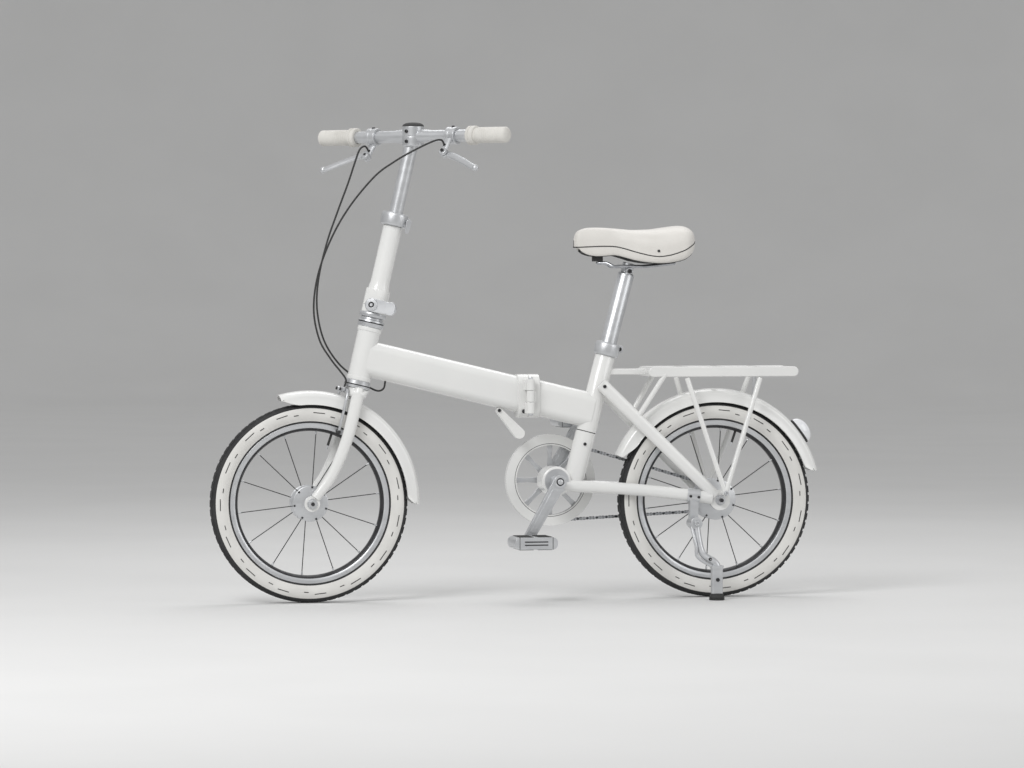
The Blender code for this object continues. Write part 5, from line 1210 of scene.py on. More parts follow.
@dataclass
class FrameSet:
    """Both halves of the frame: main tube and hinge, head tube, seat tube and stays."""

    tube_height: float = 0.092
    tube_width: float = 0.056
    tube_corner: float = 0.026
    plate_height: float = 0.112
    plate_width: float = 0.068
    plate_thickness: float = 0.0278
    hinge_x: float = MIDDLE_X + 0.036
    pin_offset: float = 0.05
    knuckle_radius: float = 0.01
    head_low: float = 0.334
    head_high: float = 0.472
    head_radius: float = 0.029
    cup_radius: float = 0.034
    seat_length: float = 0.359
    seat_radius: float = 0.026
    seat_bore: float = 0.0218
    clamp_height: float = 0.034
    clamp_radius: float = 0.031
    shell_radius: float = 0.038
    shell_half: float = 0.036
    stay_radius: float = 0.0115
    dropout_offset: float = 0.068
    dropout_radius: float = 0.027
    dropout_thickness: float = 0.008
    stay_station: float = 0.285
    stay_across: float = 0.035
    latch_length: float = 0.088
    latch_angle: float = math.radians(48.0)

    @staticmethod
    def on_tube(x: float) -> Vector:
        """Point of the main tube's axis at a place along the bicycle."""
        return TUBE_START + TUBE_AXIS * (x - TUBE_START.x) / TUBE_AXIS.x

    def hinge_centre(self) -> Vector:
        """Middle of the frame hinge on the main tube's axis."""
        return self.on_tube(self.hinge_x)

    def stay_top(self, way: int) -> Vector:
        """Upper end of a seatstay's middle line."""
        return seating(self.stay_station, way * self.stay_across)

    def build(self) -> None:
        """Make the frame's pieces."""
        self.main_tubes()
        self.hinge()
        self.head()
        self.seat_tube()
        for name, way in SIDES:
            self.stays(name, way)
        self.latch()

    def main_tubes(self) -> None:
        """Main tube on either side of its hinge."""
        section = rounded_rectangle(self.tube_height, self.tube_width, self.tube_corner, 13)
        seat_share = (SEAT_FOOT - TUBE_START).cross(SEAT_UP).y / TUBE_AXIS.cross(SEAT_UP).y
        seat_end = TUBE_START + seat_share * TUBE_AXIS
        centre = self.hinge_centre()
        for side, start, end in (("front", TUBE_START, centre - 0.012 * ALONG),
                                 ("rear", centre + 0.012 * ALONG, seat_end)):
            shape = Shape(WHITE_PAINT)
            shape.slab([section], (end - start).length, frame_at((start + end) / 2, TUBE_AXIS))
            shape.piece(side + "_oval_tube", side + "_frame", side + "_main_tube", bevel=0.0)

    def hinge(self) -> None:
        """Hinge plates with their knuckles, pin and screws."""
        outline = rounded_rectangle(self.plate_height, self.plate_width, self.tube_corner, 13)
        pin = self.hinge_centre() - self.pin_offset * ACROSS
        third = (self.plate_height - 0.024) / 3
        for side, way in (("front", -1), ("rear", 1)):
            middle = self.hinge_centre() + way * (self.plate_thickness / 2 + 0.00015) * ALONG
            shape = Shape(WHITE_PAINT, SILVER, DARK_STEEL)
            shape.slab([outline], self.plate_thickness, frame_at(middle, ALONG))
            spans = [(-third / 2 + 0.0004, third / 2 - 0.0004)]
            if way < 0:
                spans = [(third / 2 + 0.0006, 1.5 * third), (-1.5 * third, -third / 2 - 0.0006)]
            for low, high in spans:
                shape.rod(pin + low * UP, pin + high * UP, self.knuckle_radius, crown=0.0004)
                web = pin + (low + high) / 2 * UP + way * 0.0072 * ALONG + 0.012 * ACROSS
                shape.block((0.0138, 0.024, high - low - 0.001), Matrix.Translation(web))
            if way > 0:
                for end in (-1, 1):
                    shape.bolt(pin + end * 1.5 * third * UP, end * UP, 0.0062, SILVER)
            else:
                screw = middle + Vector((0.0, -self.plate_width / 2, -self.plate_height / 2 + 0.017))
                shape.bolt(screw, -ACROSS, 0.0055, DARK_STEEL)
            shape.piece(side + "_hinge_half", side + "_frame", side + "_hinge_plate", bevel=0.0045)

    def head(self) -> None:
        """Head tube with thickened ends, and the headset cups."""
        axis = frame_at(steering(0.0), STEER_UP)
        low, high, radius = self.head_low, self.head_high, self.head_radius
        tube = [(0.016, low), (radius + 0.0018, low), (radius + 0.0022, low + 0.002), (radius + 0.0018, low + 0.009),
                (radius, low + 0.011), (radius, high - 0.011), (radius + 0.0018, high - 0.009),
                (radius + 0.0022, high - 0.002), (radius + 0.0018, high), (0.016, high)]
        Shape(WHITE_PAINT).turned(tube, axis, 64).piece("ringed_head_tube", "front_frame", "head_tube", bevel=0.0)
        cup = self.cup_radius
        lower = [(0.016, 0.3128), (cup - 0.002, 0.3128), (cup, 0.3145), (cup, 0.3205), (cup - 0.0016, 0.3212),
                 (cup - 0.0016, 0.3226), (cup, 0.3233), (cup - 0.001, 0.3325), (cup - 0.003, 0.3337),
                 (0.016, 0.3337)]
        upper = [(0.016, 0.4723), (cup - 0.003, 0.4723), (cup - 0.001, 0.4738), (cup, 0.483), (cup - 0.0016, 0.4837),
                 (cup - 0.0016, 0.4853), (cup, 0.486), (cup - 0.0012, 0.4905), (0.029, 0.4925), (0.0275, 0.4983),
                 (0.016, 0.4983)]
        for side, profile in (("lower", lower), ("upper", upper)):
            shape = Shape(SILVER, DARK_STEEL)
            bands = [DARK_STEEL if 3 <= step <= 5 else SILVER for step in range(len(profile) - 1)]
            shape.turned(profile, axis, 64, bands=bands)
            shape.piece(side + "_bearing_cup", "front_frame", side + "_headset_cup", bevel=0.0)

    def seat_tube(self) -> None:
        """Seat tube with the bottom bracket shell, a seam and screw, and the seat clamp."""
        axis = frame_at(seating(0.0), SEAT_UP)
        radius, length = self.seat_radius, self.seat_length
        shape = Shape(WHITE_PAINT, DARK_STEEL, SILVER)
        profile = [(0.0, 0.0), (radius - 0.003, 0.0), (radius, 0.003), (radius, 0.1555), (radius - 0.0009, 0.156),
                   (radius - 0.0009, 0.1572), (radius, 0.1577), (radius, length - 0.002), (radius - 0.001, length),
                   (self.seat_bore, length), (self.seat_bore, length - 0.08)]
        bands = [DARK_STEEL if 3 <= step <= 5 else WHITE_PAINT for step in range(len(profile) - 1)]
        shape.turned(profile, axis, 64, bands=bands)
        shape.bolt(seating(0.124, -radius + 0.0004), -ACROSS, 0.0042, DARK_STEEL)
        shell, half = self.shell_radius, self.shell_half
        barrel = [(0.0125, -half), (shell - 0.006, -half), (shell - 0.002, -half + 0.0008), (shell, -half + 0.003),
                  (shell, half - 0.003), (shell - 0.002, half - 0.0008), (shell - 0.006, half), (0.0125, half)]
        shape.turned(barrel, frame_at(BRACKET, ACROSS), 64, closed=True,
                     bands=[SILVER] + [WHITE_PAINT] * 5 + [SILVER] * 2)
        shape.piece("seat_tube_and_shell", "rear_frame", "seat_tube", bevel=0.0)
        self.seat_clamp()

    def seat_clamp(self) -> None:
        """Clamp collar with its slit, ears and bolt."""
        radius, height = self.clamp_radius, self.clamp_height
        axis = frame_at(seating(self.seat_length), SEAT_UP)
        shape = Shape(SILVER, DARK_STEEL)
        profile = collar_profile(self.seat_bore, radius, (GAP, height), 0.002, height - 0.004)
        shape.turned(profile, axis, 64, closed=True)
        ear = seating(self.seat_length + height / 2) + radius * ALONG
        for way in (-1, 1):
            place = frame_at(ear + way * 0.0055 * ACROSS, ACROSS)
            shape.slab([rounded_rectangle(0.02, 0.021, 0.006)], 0.007, place)
            shape.bolt(ear + way * 0.0105 * ACROSS, way * ACROSS, 0.0055, DARK_STEEL)
        shape.rod(ear - 0.01 * ACROSS, ear + 0.01 * ACROSS, 0.0035, finish=DARK_STEEL)
        shape.piece("split_seat_clamp", "rear_frame", "seat_clamp_collar", bevel=0.001)

    def chainstay_run(self, way: int) -> list[Vector]:
        """Middle line of a chainstay.

        Args:
            way: -1 for the left one, 1 for the right one.

        Returns:
            Its points from the bottom bracket to the dropout.
        """
        level = BRACKET.z - self.stay_radius
        drop = level - WHEEL_RADIUS
        outer = way * self.dropout_offset
        inner = way * 0.0273
        return smooth_run([(BRACKET.x + self.stay_radius, inner, level),
                           (BRACKET.x + 0.119, inner, level - 0.15 * drop),
                           (REAR_AXLE.x - 0.85 * WHEEL_RADIUS, way * 0.0401, level - 0.3 * drop),
                           (REAR_AXLE.x - 2.6 * self.dropout_radius, outer, level - 0.7 * drop),
                           (REAR_AXLE.x - 0.8 * self.dropout_radius, outer, level - 0.9 * drop)], 49)

    def stays(self, name: str, way: int) -> None:
        """Chainstay with its dropout plate, and the seatstay above it.

        Args:
            name: side that starts the names of the pieces.
            way: -1 for the left side, 1 for the right one.
        """
        side = REAR_AXLE + way * self.dropout_offset * ACROSS
        shape = Shape(WHITE_PAINT, DARK_STEEL)
        shape.swept(self.chainstay_run(way), self.stay_radius, 28, oval=1.35)
        shape.slab([circle(self.dropout_radius, 64)], self.dropout_thickness, frame_at(side, ACROSS))
        shape.piece(name + "_bent_chainstay", "rear_frame", name + "_chainstay", bevel=0.0012)
        top = self.stay_top(way)
        run = [top.lerp(side, step / 24 * 0.965) for step in range(25)]
        stay = Shape(WHITE_PAINT, DARK_STEEL)
        stay.swept(run, lambda share: 0.0095 - 0.0012 * share ** 3, 28, oval=1.75)
        stay.bolt(top + 0.01 * (side - top).normalized() + way * 0.0088 * ACROSS, way * ACROSS, 0.0045, DARK_STEEL)
        stay.piece(name + "_oval_seatstay", "rear_frame", name + "_seatstay", bevel=0.0012)

    def latch(self) -> None:
        """Latch lever under the main tube, with its pivot screw."""
        along = Vector((math.cos(self.latch_angle), 0.0, -math.sin(self.latch_angle)))
        pivot = self.on_tube(self.hinge_x - 0.062) - (self.tube_height / 2 + 0.0073) * TUBE_UP
        shape = Shape(WHITE_PAINT, DARK_STEEL)
        shape.slab([link_outline(self.latch_length - 0.008, 0.0072, 0.014)], 0.0235, in_plane(pivot, along, ACROSS))
        for way in (-1, 1):
            shape.bolt(pivot + way * 0.0118 * ACROSS, way * ACROSS, 0.0045, DARK_STEEL)
        shape.piece("main_latch_lever", "frame_latch", "frame_latch_lever", bevel=0.0025)


@dataclass
class Mudguard:
    """Arched guard over a wheel, with a rolled edge and a post that holds it."""

    side: str
    axle: Vector
    body: str
    ahead: float
    behind: float
    post: tuple[Vector, Vector]
    post_radius: float
    radius: float = 0.288
    width: float = 0.058
    depth: float = 0.036
    wall: float = 0.0016
    tip_turn: float = math.radians(11.0)
    steps: int = 72

    def section(self, share: float) -> list[tuple]:
        """Closed section of the guard.

        Args:
            share: how much of the skirts' full depth is there.

        Returns:
            Distance from the axle and from the middle plane of each point.
        """
        half, outer = self.width / 2, []
        for step in range(13):
            bend = step / 12 * math.pi / 2
            outer.append((self.radius - 0.42 * self.depth * (1 - math.cos(bend)), half * math.sin(bend)))
        foot = self.radius - self.depth * max(0.42 + 0.58 * share, 0.43)
        outer += [(foot + 0.0025, half), (foot + 0.0012, half + 0.001), (foot, half + 0.0006)]
        inner = [(radius - self.wall, height * (1 - self.wall / half)) for radius, height in outer[:13]]
        inner += [(foot + 0.0012, half - self.wall)]
        left = [(radius, -height) for radius, height in outer[1:]]
        left_inner = [(radius, -height) for radius, height in inner[1:]]
        return left[::-1] + outer + inner[::-1] + left_inner

    def build(self) -> None:
        """Make the guard."""
        turn = self.ahead + self.behind
        rings = []
        for step in range(self.steps + 1):
            angle = -self.ahead + turn * step / self.steps
            front, back = (angle + self.ahead) / self.tip_turn, (self.behind - angle) / (0.45 * self.tip_turn)
            share = math.sin(min(1.0, front, back) * math.pi / 2)
            out = Vector((math.sin(angle), 0.0, math.cos(angle)))
            rings.append([self.axle + radius * out + height * ACROSS for radius, height in self.section(share)])
        shape = Shape(WHITE_PAINT, SILVER)
        shape.loft(rings)
        shape.rod(*self.post, self.post_radius, finish=SILVER)
        out = (self.post[0] - self.axle).normalized()
        shape.turned([(0.0, -0.0022), (0.0065, -0.0018), (0.0075, 0.0), (0.0, 0.0)],
                     frame_at(self.axle + (self.radius - self.wall) * out, out), 24, SILVER)
        shape.piece(self.side + "_rolled_mudguard", self.body, self.side + "_mudguard", bevel=0.0, smooth=50.0)


@dataclass
class ForkSet:
    """Fork with its crown, the front brake and the front mudguard."""

    crown_station: float = 0.3024
    crown_height: float = 0.02
    crown_depth: float = 0.044
    blade_spacing: float = 0.094
    tip_spacing: float = 0.1
    tip_radius: float = 0.02
    arm_spread: float = 0.04
    pad_length: float = 0.026

    # Rise above the crown's middle, depth, width and how far back the ring lies
    CROWN = ((-0.0125, 0.034, 0.112, 0.0), (-0.008, 0.042, 0.119, 0.0005), (0.0, 0.0455, 0.119, 0.001),
             (0.005, 0.05, 0.106, 0.003), (0.0098, 0.054, 0.078, 0.005))

    def build(self) -> None:
        """Make the fork's pieces."""
        self.fork()
        self.brake_arm("left", -1, 0)
        self.brake_arm("right", 1, 1)
        reach = math.sqrt(Mudguard.radius ** 2 - FORK_RAKE ** 2)
        post = (steering(reach - 0.001), steering(self.crown_station - self.crown_height / 2 - GAP))
        Mudguard("front", FRONT_AXLE, "fork_body", math.radians(16.0), math.radians(91.0), post, 0.005).build()

    def blade_run(self, way: int) -> list[Vector]:
        """Middle line of a fork blade.

        Args:
            way: -1 for the left one, 1 for the right one.

        Returns:
            Its points from the crown to the tip.
        """
        station = self.crown_station
        high, low = way * self.blade_spacing / 2, way * self.tip_spacing / 2
        return smooth_run([steering(station, 0.0, high), steering(0.6 * station, 0.04 * FORK_RAKE, high),
                           steering(0.28 * station, 0.36 * FORK_RAKE, (high + low) / 2),
                           steering(0.8 * self.tip_radius, 0.9 * FORK_RAKE, low)], 41)

    def fork(self) -> None:
        """Crown, tapering blades, tips, the steerer's foot and the brake's stud."""
        shape = Shape(WHITE_PAINT, SILVER, DARK_STEEL)
        rings = []
        for rise, depth, width, back in self.CROWN:
            place = frame_at(steering(self.crown_station + rise), STEER_UP)
            outline = rounded_rectangle(depth, width, 0.45 * depth)
            rings.append([place @ Vector((x + back, y, 0.0)) for x, y in outline])
        shape.loft(rings)
        for way in (-1, 1):
            shape.swept(self.blade_run(way), lambda share: 0.0128 - 0.003 * share ** 1.6, 28, oval=1.25)
            top = steering(self.crown_station, 0.0, way * self.blade_spacing / 2)
            shape.rod(top, top + 0.012 * STEER_UP, 0.0128, 0.0105, crown=0.002)
            tip = FRONT_AXLE + way * self.tip_spacing / 2 * ACROSS
            shape.slab([circle(self.tip_radius, 48)], 0.008, frame_at(tip, ACROSS))
        shape.rod(steering(self.crown_station), steering(0.4983), 0.0145, finish=SILVER)
        stud, nut = (steering(self.crown_station, self.crown_depth / 2 + ahead) for ahead in (0.03, 0.0235))
        shape.rod(steering(self.crown_station, 0.012), stud, 0.0039, finish=DARK_STEEL)
        shape.slab([circle(0.0065, 6)], 0.005, frame_at(nut, STEER_AHEAD), SILVER)
        shape.piece("tapered_fork", "fork_body", "fork", bevel=0.003, smooth=50.0)

    def brake_arm(self, name: str, way: int, index: int) -> None:
        """Arm of the front brake with its pad and pad holder.

        Args:
            name: side that starts the names of the piece and its body.
            way: -1 for the left arm, 1 for the right one.
            index: place on the stud, counted from the crown.
        """
        ahead = self.crown_depth / 2 + 0.0043 + index * 0.0083
        station = math.sqrt(((Wheel.rim_radius + Wheel.rim_inner) / 2) ** 2 - (FORK_RAKE - ahead) ** 2)
        stud = steering(self.crown_station, ahead)
        foot = steering(station, ahead, way * self.arm_spread)
        anchor = steering(self.crown_station + 0.002, ahead, -way * 0.024)
        elbow = steering(self.crown_station - 0.012, ahead, way * self.arm_spread)
        shape = Shape(SILVER, BLACK_RUBBER, DARK_STEEL)
        shape.swept(smooth_run([anchor, stud, elbow, foot], 33), 0.0037, 16, oval=1.5, side=STEER_AHEAD)
        hub = frame_at(stud, STEER_AHEAD)
        shape.turned([(0.0043, -0.0038), (0.0068, -0.0038), (0.0068, 0.0038), (0.0043, 0.0038)], hub, 32, closed=True)
        inner = steering(station, ahead, way * 0.0198)
        middle = (foot + inner) / 2
        shape.rod(foot + way * 0.004 * ACROSS, middle, 0.0034, finish=DARK_STEEL)
        pad = frame_at((inner + middle) / 2, STEER_UP)
        shape.block((0.0076, (middle - inner).length, 0.6 * self.pad_length), pad, BLACK_RUBBER)
        shape.slab([circle(0.0055, 6)], 0.004, frame_at(foot + way * 0.0042 * ACROSS, ACROSS), DARK_STEEL)
        shape.piece(name + "_caliper_arm", name + "_arm", name + "_brake_arm", bevel=0.0008)


@dataclass
class Carrier:
    """Rear carrier with its legs, the rear mudguard and the tail light."""

    front_x: float = REAR_AXLE.x - 0.188
    length: float = 0.4
    width: float = 0.13
    bar: float = 0.01
    height: float = 0.026
    top: float = 0.599
    crossbars: int = 5
    leg_radius: float = 0.0066
    eye_radius: float = 0.0085
    light_turn: float = math.radians(53.0)
    light_seat: float = 0.2891
    light_height: float = 0.027
    light_stretch: float = 2.1

    # Rings of the lamp's base: rise, radius
    LIGHT_BASE = ((0.0, 0.016), (0.001, 0.017), (0.004, 0.017), (0.0046, 0.0163))

    def bar_x(self, index: int) -> float:
        """Place of a crossbar along the bicycle."""
        return self.front_x + self.bar / 2 + index * (self.length - self.bar) / (self.crossbars - 1)

    def build(self) -> None:
        """Make the carrier's pieces."""
        self.platform()
        for name, way in SIDES:
            self.legs(name, way)
        x = self.bar_x(self.crossbars - 2)
        foot_z = REAR_AXLE.z + math.sqrt(Mudguard.radius ** 2 - (x - REAR_AXLE.x) ** 2)
        post = (Vector((x, 0.0, foot_z - 0.001)), Vector((x, 0.0, self.top - self.height - GAP)))
        Mudguard("rear", REAR_AXLE, "rear_frame", math.radians(66.0), math.radians(75.0), post, 0.005).build()
        self.tail_light()

    def platform(self) -> None:
        """Carrier platform: a rounded side band, slotted top, tongue to the seat tube and two short stays."""
        middle = Vector((self.front_x + self.length / 2, 0.0, self.top - self.height / 2))
        shape = Shape(WHITE_PAINT, SILVER, DARK_STEEL)
        reach = self.width / 2 - self.bar / 2
        for way in (-1, 1):
            shape.slab([rounded_rectangle(self.length, self.height, 0.0128, 11)], self.bar,
                       in_plane(middle + way * reach * ACROSS, ALONG, ACROSS))
            end = middle + way * (self.length / 2 - 0.0125) * ALONG
            shape.rod(end - reach * ACROSS, end + reach * ACROSS, 0.0123)
        for index in range(1, self.crossbars - 1):
            place = Matrix.Translation((self.bar_x(index), 0.0, self.top - 0.0065))
            shape.slab([rounded_rectangle(0.016, 2 * reach, 0.004)], 0.013, place)
        tube_x = seating((middle.z - SEAT_FOOT.z) / SEAT_UP.z).x
        reach = self.bar_x(0) - tube_x
        shape.block((reach, 0.026, self.height - self.bar), Matrix.Translation((tube_x + reach / 2, 0.0, middle.z)))
        for way in (-1, 1):
            top, bottom = FrameSet().stay_top(way), REAR_AXLE + way * FrameSet.dropout_offset * ACROSS
            head = Vector((self.bar_x(0) + 0.04, way * (self.width - self.bar) / 2, middle.z - self.bar / 2))
            shape.rod(head, top.lerp(bottom, 0.3), self.leg_radius, finish=WHITE_PAINT)
        shape.piece("slotted_carrier", "rear_frame", "rear_rack", bevel=0.003)

    def legs(self, name: str, way: int) -> None:
        """Pair of legs from an eye on the dropout up to the carrier's side.

        Args:
            name: side that starts the names of the pieces.
            way: -1 for the left side, 1 for the right one.
        """
        face = FrameSet.dropout_offset + FrameSet.dropout_thickness / 2 + GAP
        eye_at = REAR_AXLE + Vector((self.eye_radius, 0.0, 0.0273 - self.eye_radius))
        outward = face + 0.0115 + 1.5 * self.leg_radius
        eye, foot = eye_at + way * face * ACROSS, eye_at + way * outward * ACROSS
        shape = Shape(WHITE_PAINT, DARK_STEEL, SILVER)
        shape.rod(eye, eye_at + way * (outward + 0.006) * ACROSS, self.eye_radius - 0.0001)
        shape.bolt(eye_at + way * (outward + 0.006) * ACROSS, way * ACROSS, 0.0062, SILVER)
        level = self.top - self.height - GAP - self.leg_radius / 2
        for index in (1, self.crossbars - 2):
            head = Vector((self.bar_x(index), way * (self.width - self.bar) / 2, level))
            shape.rod(foot, head, self.leg_radius, crown=0.001)
        shape.piece(name + "_carrier_legs", "rear_frame", name + "_rack_legs", bevel=0.0006)

    def tail_light(self) -> None:
        """Long domed lamp that follows the guard, with a dark base and a clear lens."""
        shape = Shape(LENS, BLACK_PLASTIC)
        lens, height = [(0.0044, 0.0162)], self.light_height
        for step in range(13):
            bend = step / 12 * 0.985 * math.pi / 2
            lens.append((0.0046 + (height - 0.0046) * math.sin(bend), 0.0165 * math.cos(bend)))
        for rows, finish in ((self.LIGHT_BASE, BLACK_PLASTIC), (lens, LENS)):
            shape.loft([self.light_ring(rise, radius) for rise, radius in rows], finish)
        shape.piece("long_tail_light", "rear_frame", "tail_light", bevel=0.0, smooth=50.0)

    def light_ring(self, rise: float, radius: float) -> list[Vector]:
        """Long ring of the lamp, bent as the guard is under it.

        Args:
            rise: height above the lamp's seat on the guard.
            radius: half of its size across the bicycle.

        Returns:
            The ring's points.
        """
        out = Vector((math.sin(self.light_turn), 0.0, math.cos(self.light_turn)))
        place = frame_at(REAR_AXLE + self.light_seat * out, out)
        ring = []
        for x, across in circle(radius):
            along = self.light_stretch * x
            skirt = 0.0151 * (1 - math.sqrt(1 - (across / (Mudguard.width / 2)) ** 2))
            sag = along ** 2 / (2 * self.light_seat) + skirt
            ring.append(place @ Vector((along, across, rise - sag * (1 - rise / self.light_height))))
        return ring


@dataclass
class Stand:
    """Kickstand with its bracket, bent leg with a flat sleeve, and rubber foot."""

    radius: float = 0.0105
    eye_radius: float = 0.016
    shoe_radius: float = 0.02
    shoe_height: float = 0.016
    sleeve: tuple = (0.03, 0.02)

    def build(self) -> None:
        """Make the stand's pieces."""
        pivot = REAR_AXLE + Vector((-0.071, -0.095, -0.058))
        foot = Vector((REAR_AXLE.x - 0.024, -0.13, 0.0))
        self.bracket(pivot)
        self.leg(pivot, foot)
        self.shoe(foot)

    def bracket(self, pivot: Vector) -> None:
        """Clamp round the left chainstay, with a web down to the pivot's barrel.

        Args:
            pivot: middle of the stand's eye.
        """
        run = FrameSet().chainstay_run(-1)
        index = min(range(1, len(run) - 1), key=lambda at: abs(run[at].x - pivot.x))
        stay, way = run[index], (run[index + 1] - run[index - 1]).normalized()
        shape = Shape(SILVER, DARK_STEEL)
        shape.swept([stay + step * 0.0165 * way for step in (-1, 1)], 0.0132, 28, oval=1.36)
        barrel = Vector((pivot.x, stay.y, pivot.z))
        inner = pivot + (self.radius + GAP) * ACROSS
        shape.rod(barrel + 0.012 * ACROSS, inner, self.eye_radius - 0.0005)
        web = (stay + barrel) / 2
        shape.slab([rounded_rectangle(0.022, stay.z - pivot.z, 0.003)], 0.02, in_plane(web, ALONG, ACROSS))
        shape.bolt(pivot - (self.radius + 0.0002) * ACROSS, -ACROSS, 0.0078, SILVER)
        for side in (-1, 1):
            spot = stay + side * 0.0105 * way - 0.0128 * ACROSS - 0.002 * UP
            shape.bolt(spot, -ACROSS, 0.0036, DARK_STEEL)
        shape.piece("stand_bracket", "rear_frame", "kickstand_bracket", bevel=0.0014)

    def leg(self, pivot: Vector, foot: Vector) -> None:
        """Eye, bent leg, the thin strut beside it and the flat sleeve.

        Args:
            pivot: middle of the stand's eye.
            foot: where the stand meets the ground.
        """
        ankle = foot + (self.shoe_height + GAP) * UP
        knee = Vector((pivot.x + 0.012, (pivot.y + foot.y) / 2, 0.62 * pivot.z))
        hip = foot + 0.45 * pivot.z * UP
        shape = Shape(SILVER, DARK_STEEL)
        shape.turned(edged_disc(0.004, self.eye_radius, self.radius, 0.001, 0.001), frame_at(pivot, ACROSS), 48,
                     closed=True)
        run = smooth_run([pivot, knee, hip, ankle], 41)
        shape.swept([point for point in run if (point - pivot).length > 0.008], self.radius - 0.0015, 24)
        strut = [pivot + Vector((-0.0125, -0.003, -0.006)), knee + Vector((-0.0165, -0.003, 0.018)),
                 knee + Vector((-0.012, -0.004, -0.012)), hip + Vector((-0.01, -0.001, -0.004))]
        shape.swept(smooth_run(strut, 25), 0.0042, 16)
        middle = (hip + ankle) / 2
        length = (hip - ankle).length
        shape.slab([rounded_rectangle(*self.sleeve, 0.0065)], length, Matrix.Translation(middle))
        shape.slab([rounded_rectangle(self.sleeve[0] + 0.003, self.sleeve[1] + 0.003, 0.0075)], 0.009,
                   Matrix.Translation(hip - 0.004 * UP))
        shape.bolt(middle - (self.sleeve[1] / 2 - GAP) * ACROSS, -ACROSS, 0.005, DARK_STEEL)
        shape.bolt(knee.lerp(hip, 0.5) - 0.0088 * ACROSS, -ACROSS, 0.0044, DARK_STEEL)
        shape.piece("stand_leg", "kickstand", "kickstand_leg", bevel=0.0012)

    def shoe(self, foot: Vector) -> None:
        """Rubber foot with a groove round it.

        Args:
            foot: where the stand meets the ground.
        """
        radius, height = self.shoe_radius, self.shoe_height
        profile = [(0.0, height), (0.0155, height), (0.0172, height - 0.0015), (radius - 0.0006, 0.0085),
                   (radius, 0.0075), (radius, 0.006), (radius - 0.001, 0.0053), (radius - 0.001, 0.0043),
                   (radius, 0.0036), (radius, 0.001), (radius - 0.001, 0.0), (0.0, 0.0)]
        shape = Shape(BLACK_RUBBER).turned(profile, frame_at(foot, UP), 48)
        shape.piece("stand_shoe", "kickstand", "kickstand_foot", bevel=0.0)


POST_TURN = math.radians(24.0)
FOLD_AXIS = math.cos(POST_TURN) * STEER_AHEAD + math.sin(POST_TURN) * ACROSS
FOLD_SIDE = FOLD_AXIS.cross(STEER_UP)
# From the bar down to a lever's pivot, and the way in which a cable leaves its lever
LEVER_DROP = 0.035 * BAR_AHEAD - 0.047 * UP
CABLE_OUT = LEVER_DROP.cross(BAR_LEFT).normalized()


